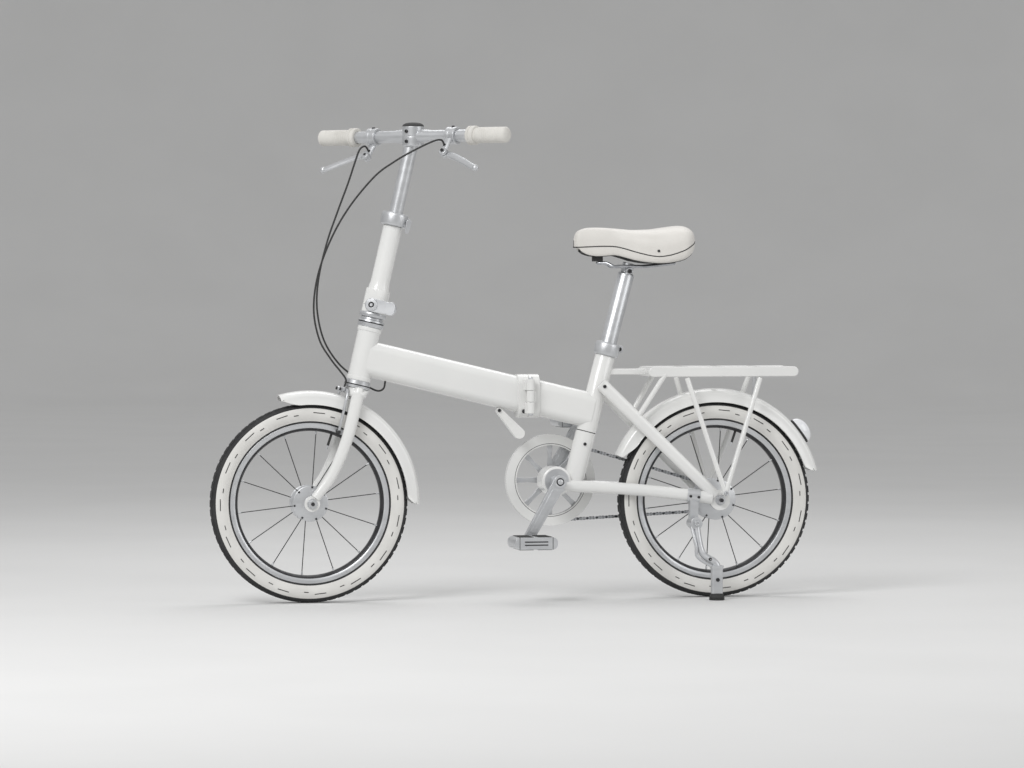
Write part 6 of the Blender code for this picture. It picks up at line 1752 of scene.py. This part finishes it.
@dataclass
class Cockpit:
    """Handlepost with its hinge, handlebar, grips and brake levers."""

    base_station: float = 0.4986
    parting: float = 0.5286
    block_top: float = 0.5706
    tube_top: float = 0.7386
    block_width: float = 0.058
    block_depth: float = 0.056
    pin_offset: float = 0.039
    lower_radius: float = 0.0245
    collar_height: float = 0.034
    collar_radius: float = 0.033
    upper_radius: float = 0.018
    bar_radius: float = 0.0155
    bar_half: float = 0.298
    head_radius: float = 0.028
    head_length: float = 0.052
    grip_length: float = 0.118
    grip_radius: float = 0.0205
    grip_collar: float = 0.0245
    clamp_from_centre: float = 0.128
    lever_beside: float = 0.0103
    seat_share: float = 0.7
    latch_length: float = 0.05

    def build(self) -> None:
        """Make the cockpit's pieces."""
        self.hinge_base()
        self.lower_post()
        self.latch()
        self.upper_post()
        self.handlebar()
        for name, out in (("left", BAR_LEFT), ("right", -BAR_LEFT)):
            self.grip(name, out)
            self.lever_mount(name, out)
            self.lever(name, out)

    def pin(self) -> Vector:
        """Middle of the handlepost's hinge pin."""
        return steering(self.parting) + self.pin_offset * FOLD_SIDE

    def hinge_block(self, shape: Shape, low: float, high: float) -> None:
        """Add one half of the hinge's body.

        Args:
            shape: what gets it.
            low: station of its lower face.
            high: station of its upper face.
        """
        place = frame_at(steering((low + high) / 2), STEER_UP, FOLD_SIDE)
        shape.slab([rounded_rectangle(self.block_width, self.block_depth, 0.017, 11)], high - low, place)

    def knuckle(self, shape: Shape, low: float, high: float, away: Vector) -> None:
        """Add one hinge knuckle on the pin with the web behind it.

        Args:
            shape: what gets it.
            low: where it starts along the pin.
            high: where it ends along the pin.
            away: direction from the pin to the half of the hinge that holds it.
        """
        pin = self.pin()
        shape.rod(pin + low * FOLD_AXIS, pin + high * FOLD_AXIS, 0.009, finish=SILVER, crown=0.0004)
        centre = pin + (low + high) / 2 * FOLD_AXIS + 0.0078 * away - 0.0105 * FOLD_SIDE
        shape.block((0.0148, 0.021, high - low - 0.0008), frame_at(centre, FOLD_AXIS, FOLD_SIDE), SILVER)

    def hinge_base(self) -> None:
        """Lower half of the hinge on a collar over the steerer."""
        shape = Shape(WHITE_PAINT, SILVER, DARK_STEEL)
        self.hinge_block(shape, self.base_station, self.parting - GAP)
        shape.turned([(0.0145, 0.0), (0.0335, 0.0), (0.0345, 0.002), (0.0345, 0.01), (0.0335, 0.012),
                      (0.0145, 0.012)], frame_at(steering(self.base_station), STEER_UP), 56, SILVER, closed=True)
        self.knuckle(shape, -0.0072, 0.0072, -STEER_UP)
        for way in (-1, 1):
            shape.bolt(self.pin() + way * 0.0234 * FOLD_AXIS, way * FOLD_AXIS, 0.0056, DARK_STEEL)
        shape.piece("post_hinge_base", "fork_body", "handlepost_hinge_base", bevel=0.003)

    def lower_post(self) -> None:
        """Upper half of the hinge with the lower tube, and the clamp collar on its top."""
        shape = Shape(WHITE_PAINT, SILVER)
        self.hinge_block(shape, self.parting, self.block_top)
        radius = self.lower_radius
        tube = [(0.0, self.block_top - 0.004), (radius + 0.004, self.block_top - 0.004),
                (radius + 0.0022, self.block_top + 0.006), (radius + 0.0005, self.block_top + 0.018),
                (radius, self.block_top + 0.03), (radius, self.tube_top - 0.001), (radius - 0.001, self.tube_top),
                (self.upper_radius + GAP, self.tube_top), (self.upper_radius + GAP, self.tube_top - 0.05)]
        shape.turned(tube, frame_at(steering(0.0), STEER_UP), 64)
        for way in (-1, 1):
            low, high = sorted((way * 0.0082, way * 0.023))
            self.knuckle(shape, low, high, STEER_UP)
        shape.piece("post_lower_tube", "lower_post", "handlepost_lower", bevel=0.003)
        self.collar()

    def collar(self) -> None:
        """Clamp collar of the sliding tube, with its ears and bolt behind."""
        low, radius, height = self.tube_top + GAP, self.collar_radius, self.collar_height
        profile = collar_profile(self.upper_radius + GAP, radius, (0.0, height - GAP), 0.0015, height - 0.0035)
        shape = Shape(SILVER, DARK_STEEL)
        shape.turned(profile, frame_at(steering(low), STEER_UP), 64, closed=True)
        ear = steering(self.tube_top + height / 2, -radius)
        for way in (-1, 1):
            spot = ear + way * 0.0062 * ACROSS
            shape.slab([rounded_rectangle(0.02, 0.018, 0.006)], 0.008, in_plane(spot, STEER_UP, ACROSS))
        shape.rod(ear - 0.03 * ACROSS, ear + 0.012 * ACROSS, 0.0042, finish=DARK_STEEL)
        shape.bolt(ear + 0.012 * ACROSS, ACROSS, 0.0062, DARK_STEEL)
        shape.slab([link_outline(0.024, 0.007, 0.0052)], 0.006, in_plane(ear - 0.028 * ACROSS, -STEER_UP, ACROSS))
        shape.piece("post_clamp_collar", "lower_post", "handlepost_collar", bevel=0.001)

    def latch(self) -> None:
        """Latch lever over the hinge's parting line, with its round cam."""
        pivot = steering(self.parting) - (self.block_depth / 2 + 0.0053) * FOLD_SIDE
        shape = Shape(SILVER, DARK_STEEL)
        place = in_plane(pivot, -FOLD_AXIS, FOLD_SIDE)
        shape.slab([link_outline(self.latch_length, 0.0175, 0.0155)], 0.0094, place)
        out = frame_at(pivot - 0.0046 * FOLD_SIDE, -FOLD_SIDE)
        shape.turned([(0.0, 0.003), (0.004, 0.003), (0.0046, 0.0018), (0.007, 0.0018), (0.0076, 0.003),
                      (0.015, 0.0026), (0.0166, 0.001), (0.0166, -0.002), (0.0, -0.002)], out, 48,
                     bands=[SILVER, DARK_STEEL, DARK_STEEL, DARK_STEEL] + [SILVER] * 4)
        pad = place @ Matrix.Translation((self.latch_length, 0.0, -0.0016))
        shape.slab([rounded_rectangle(0.027, 0.034, 0.012, 9)], 0.012, pad)
        shape.piece("post_latch_lever", "post_latch", "handlepost_latch_lever", bevel=0.0016)

    def upper_post(self) -> None:
        """Sliding upper tube."""
        radius = self.upper_radius
        start = self.tube_top - 0.08
        end = (BAR_CENTRE - 0.0255 * UP - steering(0.0)).dot(STEER_UP) + 0.01
        shape = Shape(SILVER)
        axis = frame_at(steering(0.0), STEER_UP)
        shape.turned([(0.0, start), (radius, start), (radius, end), (0.0, end)], axis, 56)
        shape.piece("post_upper_tube", "upper_post", "handlepost_upper", bevel=0.0)

    def handlebar(self) -> None:
        """Straight bar in its swivel head, and the black cap on top."""
        shape = Shape(SILVER, DARK_STEEL)
        for way in (-1, 1):
            shape.turned([(0.0, 0.0), (0.0178, 0.0), (0.0178, 0.04), (self.bar_radius, 0.062),
                          (self.bar_radius, self.bar_half), (0.0, self.bar_half)],
                         frame_at(BAR_CENTRE, way * BAR_LEFT, UP), 48)
        half, radius = self.head_length / 2, self.head_radius
        shape.turned([(0.0, -half), (radius - 0.003, -half), (radius, -half + 0.003), (radius, -0.002),
                      (radius - 0.001, -0.0012), (radius - 0.001, 0.0012), (radius, 0.002), (radius, half - 0.001),
                      (radius - 0.001, half), (0.0, half)], frame_at(BAR_CENTRE, UP), 56)
        for way in (-1, 1):
            shape.bolt(BAR_CENTRE + radius * BAR_AHEAD + way * 0.013 * UP, BAR_AHEAD, 0.0045, DARK_STEEL)
        shape.piece("bar_with_swivel_head", "bar", "handlebar", bevel=0.0006)
        dome = [(0.0, 0.01), (0.01, 0.0096), (0.019, 0.008), (0.025, 0.005), (0.0276, 0.0016), (radius, GAP),
                (0.0, GAP)]
        cap = Shape(BLACK_PLASTIC).turned(dome, frame_at(BAR_CENTRE + half * UP, UP), 56)
        cap.piece("swivel_cap", "bar", "bar_top_cap", bevel=0.0)

    def grip(self, name: str, out: Vector) -> None:
        """Grip with a collar, ribs and a round end.

        Args:
            name: side that starts the piece's name.
            out: direction along the bar to that side.
        """
        start, closed = self.bar_half - self.grip_length, self.bar_half + GAP
        radius, collar = self.grip_radius, self.grip_collar
        bore = self.bar_radius + GAP
        profile = [(bore, start), (collar - 0.002, start), (collar, start + 0.002), (collar, start + 0.0085),
                   (collar - 0.0016, start + 0.0095), (collar - 0.0016, start + 0.0125), (collar, start + 0.0135),
                   (collar, start + 0.02), (collar - 0.002, start + 0.022), (radius - 0.0012, start + 0.0228)]
        at = start + 0.03
        while at < closed - 0.024:
            profile += [(radius - 0.001, at), (radius, at + 0.0012), (radius, at + 0.004),
                        (radius - 0.001, at + 0.0052)]
            at += 0.0068
        profile += [(radius - 0.0002, closed - 0.02), (radius, closed - 0.006)]
        for step in range(1, 8):
            bend = step / 7 * math.pi / 2
            profile.append((radius * math.cos(bend), closed - 0.006 + 0.01 * math.sin(bend)))
        shape = Shape(PALE_RUBBER)
        shape.turned(profile, frame_at(BAR_CENTRE, out, UP), 48)
        shape.piece(name + "_ribbed_grip", "bar", name + "_grip", bevel=0.0, smooth=55.0)

    def cable_seat(self, out: Vector) -> Vector:
        """Middle of a cable's seat on its lever's arm."""
        centre = BAR_CENTRE + self.clamp_from_centre * out
        return centre + self.seat_share * LEVER_DROP + self.lever_beside * LEVER_DROP.cross(out).normalized()

    def lever_mount(self, name: str, out: Vector) -> None:
        """Lever clamp on the bar, with its arm and the cable's seat.

        Args:
            name: side that starts the piece's name.
            out: direction along the bar to that side.
        """
        centre = BAR_CENTRE + self.clamp_from_centre * out
        pivot, axis = centre + LEVER_DROP, LEVER_DROP.cross(out).normalized()
        beside = self.lever_beside * axis
        shape = Shape(SILVER, DARK_STEEL, BLACK_PLASTIC)
        ring = [(0.0158, -0.015), (0.0212, -0.015), (0.0225, -0.0138), (0.0225, -0.004), (0.0214, -0.0032),
                (0.0214, 0.0032), (0.0225, 0.004), (0.0225, 0.0138), (0.0212, 0.015), (0.0158, 0.015)]
        shape.turned(ring, frame_at(centre, out, UP), 48, closed=True)
        start = centre + 0.019 * LEVER_DROP.normalized() + beside
        arm = [start, start.lerp(pivot + beside, 0.55) + 0.001 * out, pivot + beside]
        shape.swept(smooth_run(arm, 17), lambda share: 0.0062 - 0.0012 * share, 20, oval=1.9, side=axis)
        boss = frame_at(pivot + beside, axis)
        shape.turned(edged_disc(0.0, 0.0108, 0.0048, 0.0013, 0.0012), boss, 40)
        shape.rod(pivot - 0.0056 * axis, pivot + beside, 0.0034, finish=DARK_STEEL)
        shape.bolt(pivot + beside + 0.0048 * axis, axis, 0.0046, DARK_STEEL)
        shape.bolt(centre + 0.0222 * UP, UP, 0.004, DARK_STEEL)
        shape.turned([(0.0, -0.004), (0.0048, -0.004), (0.0048, 0.005), (0.004, 0.0056), (0.0, 0.0056)],
                     frame_at(self.cable_seat(out), CABLE_OUT), 28, BLACK_PLASTIC)
        shape.piece(name + "_lever_mount", "bar", name + "_lever_clamp", bevel=0.0008)

    def lever(self, name: str, out: Vector) -> None:
        """Curved brake lever with its eye and ball end.

        Args:
            name: side that starts the names of the piece and its body.
            out: direction along the bar to that side.
        """
        pivot, down = BAR_CENTRE + self.clamp_from_centre * out + LEVER_DROP, LEVER_DROP.normalized()
        axis = LEVER_DROP.cross(out).normalized()
        along = 0.116 * out + 0.046 * down
        run = smooth_run([pivot, pivot + 0.25 * along - 0.004 * down, pivot + 0.6 * along - 0.003 * down,
                          pivot + 0.86 * along, pivot + along], 33)
        blade = Shape(SILVER, DARK_STEEL)
        blade.swept(run, lambda share: 0.005 - 0.0008 * share, 20, oval=2.0, side=axis)
        blade.turned(edged_disc(0.0038, 0.011, 0.0048, 0.0005, 0.0008), frame_at(pivot, axis), 40, closed=True)
        bends = [step / 16 * math.pi for step in range(17)]
        ball = [(0.0085 * math.sin(bend), -0.0085 * math.cos(bend)) for bend in bends]
        blade.turned(ball, frame_at(pivot + along, axis), 28)
        blade.piece(name + "_curved_lever", name + "_lever", name + "_brake_lever", bevel=0.0006, smooth=50.0)


@dataclass
class Saddle:
    """Seatpost, rails, base shell and crowned cushion."""

    post_radius: float = 0.0215
    post_low: float = 0.25
    post_top: float = 0.581
    neck_radius: float = 0.016
    length: float = 0.315
    base_depth: float = 0.026
    rail_radius: float = 0.0042
    rail_spacing: float = 0.044
    stations: int = 64

    # Share of the length from the nose, and there the half width and the heights of crown, seam and lower edge
    SECTIONS = ((0.0, 0.0175, 0.928, 0.9075, 0.92), (0.02, 0.018, 0.945, 0.9075, 0.91),
                (0.05, 0.0195, 0.952, 0.9078, 0.898), (0.1, 0.022, 0.957, 0.9085, 0.889),
                (0.17, 0.025, 0.9585, 0.9095, 0.885), (0.25, 0.028, 0.958, 0.91, 0.8855),
                (0.33, 0.033, 0.9563, 0.909, 0.887), (0.42, 0.043, 0.954, 0.902, 0.88),
                (0.5, 0.053, 0.9525, 0.894, 0.873), (0.64, 0.074, 0.9543, 0.884, 0.867),
                (0.75, 0.083, 0.959, 0.887, 0.868), (0.86, 0.086, 0.9632, 0.898, 0.875),
                (0.92, 0.086, 0.9615, 0.908, 0.885), (0.96, 0.086, 0.955, 0.9155, 0.896),
                (0.985, 0.086, 0.945, 0.921, 0.906), (1.0, 0.086, 0.929, 0.924, 0.914))

    def seam(self) -> Vector:
        """Nose end of the seam between cushion and base."""
        return seating(self.post_top) + Vector((-0.1404, 0.0, 0.055))

    def section(self, share: float) -> tuple[float, ...]:
        """Measures of the saddle at one place.

        Args:
            share: share of the length from the nose.

        Returns:
            Half width and the heights of crown, seam and lower edge.
        """
        wide = smooth_run([Vector((row[0], row[1], row[2])) for row in self.SECTIONS], 401)
        low = smooth_run([Vector((row[0], row[3], row[4])) for row in self.SECTIONS], 401)
        half, crown = min(wide, key=lambda row: abs(row.x - share)).yz
        seam, edge = min(low, key=lambda row: abs(row.x - share)).yz
        nose, tail = max(0.0, 1.0 - share / 0.035), max(0.0, (share - 0.86) / 0.14)
        ends = math.sqrt(1.0 - nose ** 2) * (1.0 - tail ** 2.4) ** (1 / 2.4)
        return half * ends, crown, min(seam, crown), min(edge, crown - 0.004)

    def underside(self, share: float) -> float:
        """Height of the cushion's hollow underside."""
        _, crown, _, edge = self.section(share)
        return min(max(self.seam().z + 0.0015, edge + 0.006), crown - 0.003)

    def build(self) -> None:
        """Make the saddle's pieces."""
        self.post()
        self.rails()
        self.base()
        self.cushion()

    def base_z(self) -> float:
        """Height of the base's underside."""
        return self.seam().z - self.base_depth

    def post(self) -> None:
        """Seatpost, its neck, and the clamp under the rails."""
        radius = self.post_radius
        neck_end = (self.base_z() - 0.0006 - SEAT_FOOT.z) / SEAT_UP.z - 0.004
        profile = [(0.0, self.post_low), (radius, self.post_low), (radius, self.post_top - 0.006),
                   (radius - 0.0015, self.post_top - 0.003), (self.neck_radius, self.post_top),
                   (self.neck_radius, neck_end), (0.0, neck_end)]
        shape = Shape(SILVER, DARK_STEEL)
        shape.turned(profile, frame_at(SEAT_FOOT, SEAT_UP), 56)
        clamp_z = self.base_z() - 4 * self.rail_radius - 2 * self.rail_radius - GAP
        clamp = seating((clamp_z - SEAT_FOOT.z) / SEAT_UP.z)
        half = (self.rail_spacing / 2 + 2 * self.rail_radius) * ACROSS
        shape.rod(clamp - half, clamp + half, 2 * self.rail_radius, finish=SILVER, crown=0.0008)
        for way in (-1, 1):
            shape.bolt(clamp + way * half, way * ACROSS, 0.0062, DARK_STEEL)
        shape.piece("necked_seatpost", "saddle_and_post", "seatpost", bevel=0.0005)

    def rails(self) -> None:
        """Rail wire bent under the saddle."""
        nose = self.seam().x
        base = self.base_z()
        level, ends = base - 3 * self.rail_radius, base - self.rail_radius - GAP
        front, tail, half = nose + 0.2 * self.length, nose + 0.84 * self.length, self.rail_spacing / 2
        clamp_x = seating((level - SEAT_FOOT.z) / SEAT_UP.z).x
        one = [(tail, half, ends), *((clamp_x + share * half, half, level) for share in (2, 1, -1, -2)),
               (front + half, half / 2, ends), (front, 0.0, ends)]
        other = [(x, -across, z) for x, across, z in reversed(one[:-1])]
        shape = Shape(STEEL)
        shape.swept(smooth_run(one + other, 97), self.rail_radius, 18)
        shape.piece("bent_saddle_rails", "saddle_and_post", "saddle_rails", bevel=0.0)

    def base(self) -> None:
        """Plastic shell inside the cushion's skirt, with the sockets of the rails."""
        nose = self.seam()
        rings = []
        for step in range(self.stations + 1):
            share = 0.05 + 0.9 * step / self.stations
            half, _, _, edge = self.section(share)
            roof = self.underside(share) - 0.001
            side = [(0.735, roof), (0.79, edge + 0.0035), (0.89, edge - 0.0004), (0.89, edge - 0.0016),
                    (0.84, edge - 0.0016), (0.74, edge + 0.001), (0.68, roof - 0.005)]
            x = nose.x + share * self.length
            ring = [Vector((x, wide * half, z)) for wide, z in side]
            rings.append(ring + [Vector((x, -wide * half, z)) for wide, z in reversed(side)])
        shape = Shape(BLACK_PLASTIC)
        shape.loft(rings)
        for share, places in ((0.2, (0.0,)), (0.84, (-self.rail_spacing / 2, self.rail_spacing / 2))):
            roof = self.underside(share) - 0.002
            for across in places:
                middle = Vector((nose.x + share * self.length, across, (self.base_z() + roof) / 2))
                shape.block((0.026, 0.016, roof - self.base_z()), Matrix.Translation(middle))
        shape.piece("saddle_shell", "saddle_and_post", "saddle_base", bevel=0.0006, smooth=60.0)

    def cushion(self) -> None:
        """Crowned vinyl cushion whose skirt wraps the shell, with piping and a rivet on each side."""
        nose = self.seam()
        rings, welt = [], []
        for step in range(self.stations + 1):
            share = min(0.9995, max(0.0005, (1 - math.cos(step / self.stations * math.pi)) / 2))
            half, crown, seam, edge = self.section(share)
            x = nose.x + share * self.length
            roof = self.underside(share)
            skirt = [(0.985, seam), (0.995, seam + 0.22 * (edge - seam)), (0.97, seam + 0.7 * (edge - seam)),
                     (0.93, edge + 0.0004), (0.9, edge), (0.87, edge + 0.001), (0.8, edge + 0.005), (0.74, roof)]
            top = []
            for side in range(1, 32):
                bend = -math.pi / 2 + side / 32 * math.pi
                wide, tall = abs(math.sin(bend)) ** 0.8, math.cos(bend) ** 0.58
                top.append((math.copysign(wide, bend), seam + tall * (crown - seam)))
            ring = [(-wide, z) for wide, z in reversed(skirt)] + top + skirt
            rings.append([Vector((x, wide * half, z)) for wide, z in ring])
            welt.append(Vector((x, 0.985 * half, seam)))
        shape = Shape(PALE_VINYL, BLACK_PLASTIC)
        shape.loft(rings)
        loop = welt + [Vector((point.x, -point.y, point.z)) for point in reversed(welt[1:-1])]
        shape.swept(loop, 0.0014, 10, BLACK_PLASTIC, closed=True, side=UP)
        for way in (-1, 1):
            rivet = Vector((nose.x + 0.66 * self.length, way * (self.section(0.66)[0] - 0.0006), 0.898))
            shape.bolt(rivet, way * ACROSS, 0.0034, BLACK_PLASTIC)
        cushion = shape.piece("padded_saddle", "saddle_and_post", "saddle_cushion", bevel=0.0, smooth=70.0)


@dataclass
class BrakeCable:
    """Free brake cable between its lever and its far seat, cut into one tube for each joint that it crosses."""

    side: str
    points: list[Vector]
    crossings: tuple[tuple[str, str, Vector, Vector], ...]
    radius: float = 0.0024
    samples: int = 181

    def build(self) -> None:
        """Make one tube for each joint that the cable crosses, end to end."""
        run = smooth_run(self.points, self.samples)
        ends = [0]
        for here, after in zip(self.crossings, self.crossings[1:]):
            middle = (here[3] + after[2]) / 2
            ends.append(min(range(len(run)), key=lambda i: abs((run[i] - middle).dot(STEER_UP))))
        ends.append(len(run) - 1)
        for index, (start, end) in enumerate(zip(ends, ends[1:])):
            upper, lower, from_place, to_place = self.crossings[index]
            part = run[start:end + 1]
            shape = Shape(BLACK_RUBBER)
            shape.swept(part, self.radius, 14)
            nodes = (self.side + "_brake_cable",) if index == 0 else ()
            tube = shape.blended(f"{self.side}_cable_{index + 1}", upper, lower, from_place, to_place, *nodes)


@dataclass
class CableSet:
    """Both brake cables."""

    front_bends: tuple = ((0.962, -0.025, -0.132), (0.928, 0.016, -0.118), (0.891, 0.054, -0.104),
                          (0.846, 0.09, -0.088), (0.76, 0.131, -0.066), (0.672, 0.156, -0.048),
                          (0.575, 0.167, -0.034), (0.485, 0.157, -0.026), (0.413, 0.125, -0.022),
                          (0.371, 0.085, -0.021), (0.347, 0.055, -0.021))
    rear_bends: tuple = ((0.913, 0.118, 0.058), (0.881, 0.124, 0.049), (0.822, 0.131, 0.041),
                         (0.745, 0.142, 0.036), (0.661, 0.152, 0.032), (0.568, 0.153, 0.03),
                         (0.489, 0.139, 0.032), (0.416, 0.103, 0.04), (0.366, 0.051, 0.048),
                         (0.339, -0.003, 0.049), (0.324, -0.037, 0.036), (0.319, -0.059, 0.014))

    @staticmethod
    def lever_end(out: Vector) -> list[Vector]:
        """Seat of a cable on its lever's mount, and where it has left that."""
        seat = Cockpit().cable_seat(out) + 0.0053 * CABLE_OUT
        return [seat, seat + 0.02 * CABLE_OUT]

    def build(self) -> None:
        """Make both cables."""
        seat = steering(ForkSet.crown_station + 0.006, 0.0346, -0.0204)
        stop = TUBE_START + 0.07 * TUBE_AXIS - (FrameSet.tube_height / 2 + GAP) * TUBE_UP
        turn = ("bar", "upper_post", steering(0.95), steering(0.86))
        slide = ("upper_post", "lower_post", steering(0.84), steering(0.7))
        fold = ("lower_post", "fork_body", steering(0.66), steering(0.42))
        steer = ("fork_body", "front_frame", steering(0.39), steering(0.3))
        front = [*self.lever_end(BAR_LEFT), *(steering(*bend) for bend in self.front_bends),
                 seat + 0.02 * STEER_UP, seat]
        BrakeCable("front", front, (turn, slide, fold)).build()
        rear = [*self.lever_end(-BAR_LEFT), *(steering(*bend) for bend in self.rear_bends),
                stop - 0.02 * TUBE_UP, stop]
        BrakeCable("rear", rear, (turn, slide, fold, steer)).build()


@dataclass
class Studio:
    """Pale floor and backdrop, soft lamps and the camera at the drawing's angle."""

    target: Vector
    distance: float = 12.0
    lens: float = 163.75
    azimuth: float = math.radians(-12.0)
    elevation: float = math.radians(1.5)
    air_strength: float = 0.56

    # Name, place, size and power of each lamp
    LAMPS = (("key", (-2.8, -3.0, 3.8), 2.2, 135.0), ("fill", (3.6, -3.0, 2.0), 2.4, 36.0),
             ("top", (0.6, 1.8, 4.0), 2.6, 45.0))

    def build(self) -> None:
        """Set the stage."""
        self.world()
        self.floor()
        for name, place, size, power in self.LAMPS:
            self.lamp(name, Vector(place), size, power)
        self.camera()

    def world(self) -> None:
        """Even pale light from all round."""
        world = bpy.data.worlds.new("studio_air")
        bpy.context.scene.world = world
        world.use_nodes = True
        air = world.node_tree.nodes["Background"]
        air.inputs["Color"].default_value = (1.0, 1.0, 1.0, 1.0)
        air.inputs["Strength"].default_value = self.air_strength
        bpy.context.scene.view_settings.view_transform = "Standard"

    def floor(self) -> None:
        """Round floor that curves up into a backdrop on all sides."""
        paper = Finish("pale_paper", "", (0.7, 0.7, 0.696), (0.68, 0.68, 0.676), Grain.PLASTIC, 0.85, 1.5, 0.02)
        bends = [step / 16 * math.pi / 2 for step in range(17)]
        profile = [(0.0, 0.0)] + [(16.0 + 5.0 * math.sin(bend), 5.0 * (1 - math.cos(bend))) for bend in bends]
        shape = Shape(paper).turned(profile, Matrix.Translation((0.0, 0.0, -0.0005)), 128)
        shape.plain("studio_floor", 60.0)

    def lamp(self, name: str, place: Vector, size: float, power: float) -> None:
        """Soft square lamp that faces the bicycle.

        Args:
            name: the lamp's name.
            place: where it stands.
            size: its side, in metres.
            power: its power, in watts.
        """
        light = bpy.data.lights.new(name, "AREA")
        light.size = size
        light.energy = power
        obj = bpy.data.objects.new(name, light)
        obj.matrix_world = frame_at(place, place - self.target)
        bpy.context.scene.collection.objects.link(obj)

    def camera(self) -> None:
        """Camera at the drawing's angle."""
        data = bpy.data.cameras.new("camera")
        data.lens = self.lens
        data.sensor_width = 36.0
        obj = bpy.data.objects.new("camera", data)
        level = math.cos(self.elevation)
        back = Vector((math.sin(self.azimuth) * level, -math.cos(self.azimuth) * level, math.sin(self.elevation)))
        obj.matrix_world = frame_at(self.target + self.distance * back, back, UP)
        bpy.context.scene.collection.objects.link(obj)
        bpy.context.scene.camera = obj


def main() -> None:
    """Dress the whole bicycle and set the stage, logging each piece."""
    logging.basicConfig(level=logging.INFO, format="%(name)s: %(message)s")
    Studio(target=Vector((-0.015, 0.0, 0.5554))).build()
    CableSet().build()
    Wheel("front", FRONT_AXLE, "front_wheel", "fork_body", 0.046, 0.0543, 0.132).build()
    Wheel("rear", REAR_AXLE, "rear_wheel", "rear_frame", 0.053, 0.0723, 0.184).build()
    Drive().build()
    FrameSet().build()
    ForkSet().build()
    Cockpit().build()
    Saddle().build()
    Carrier().build()
    Stand().build()


if __name__ == "__main__":
    main()
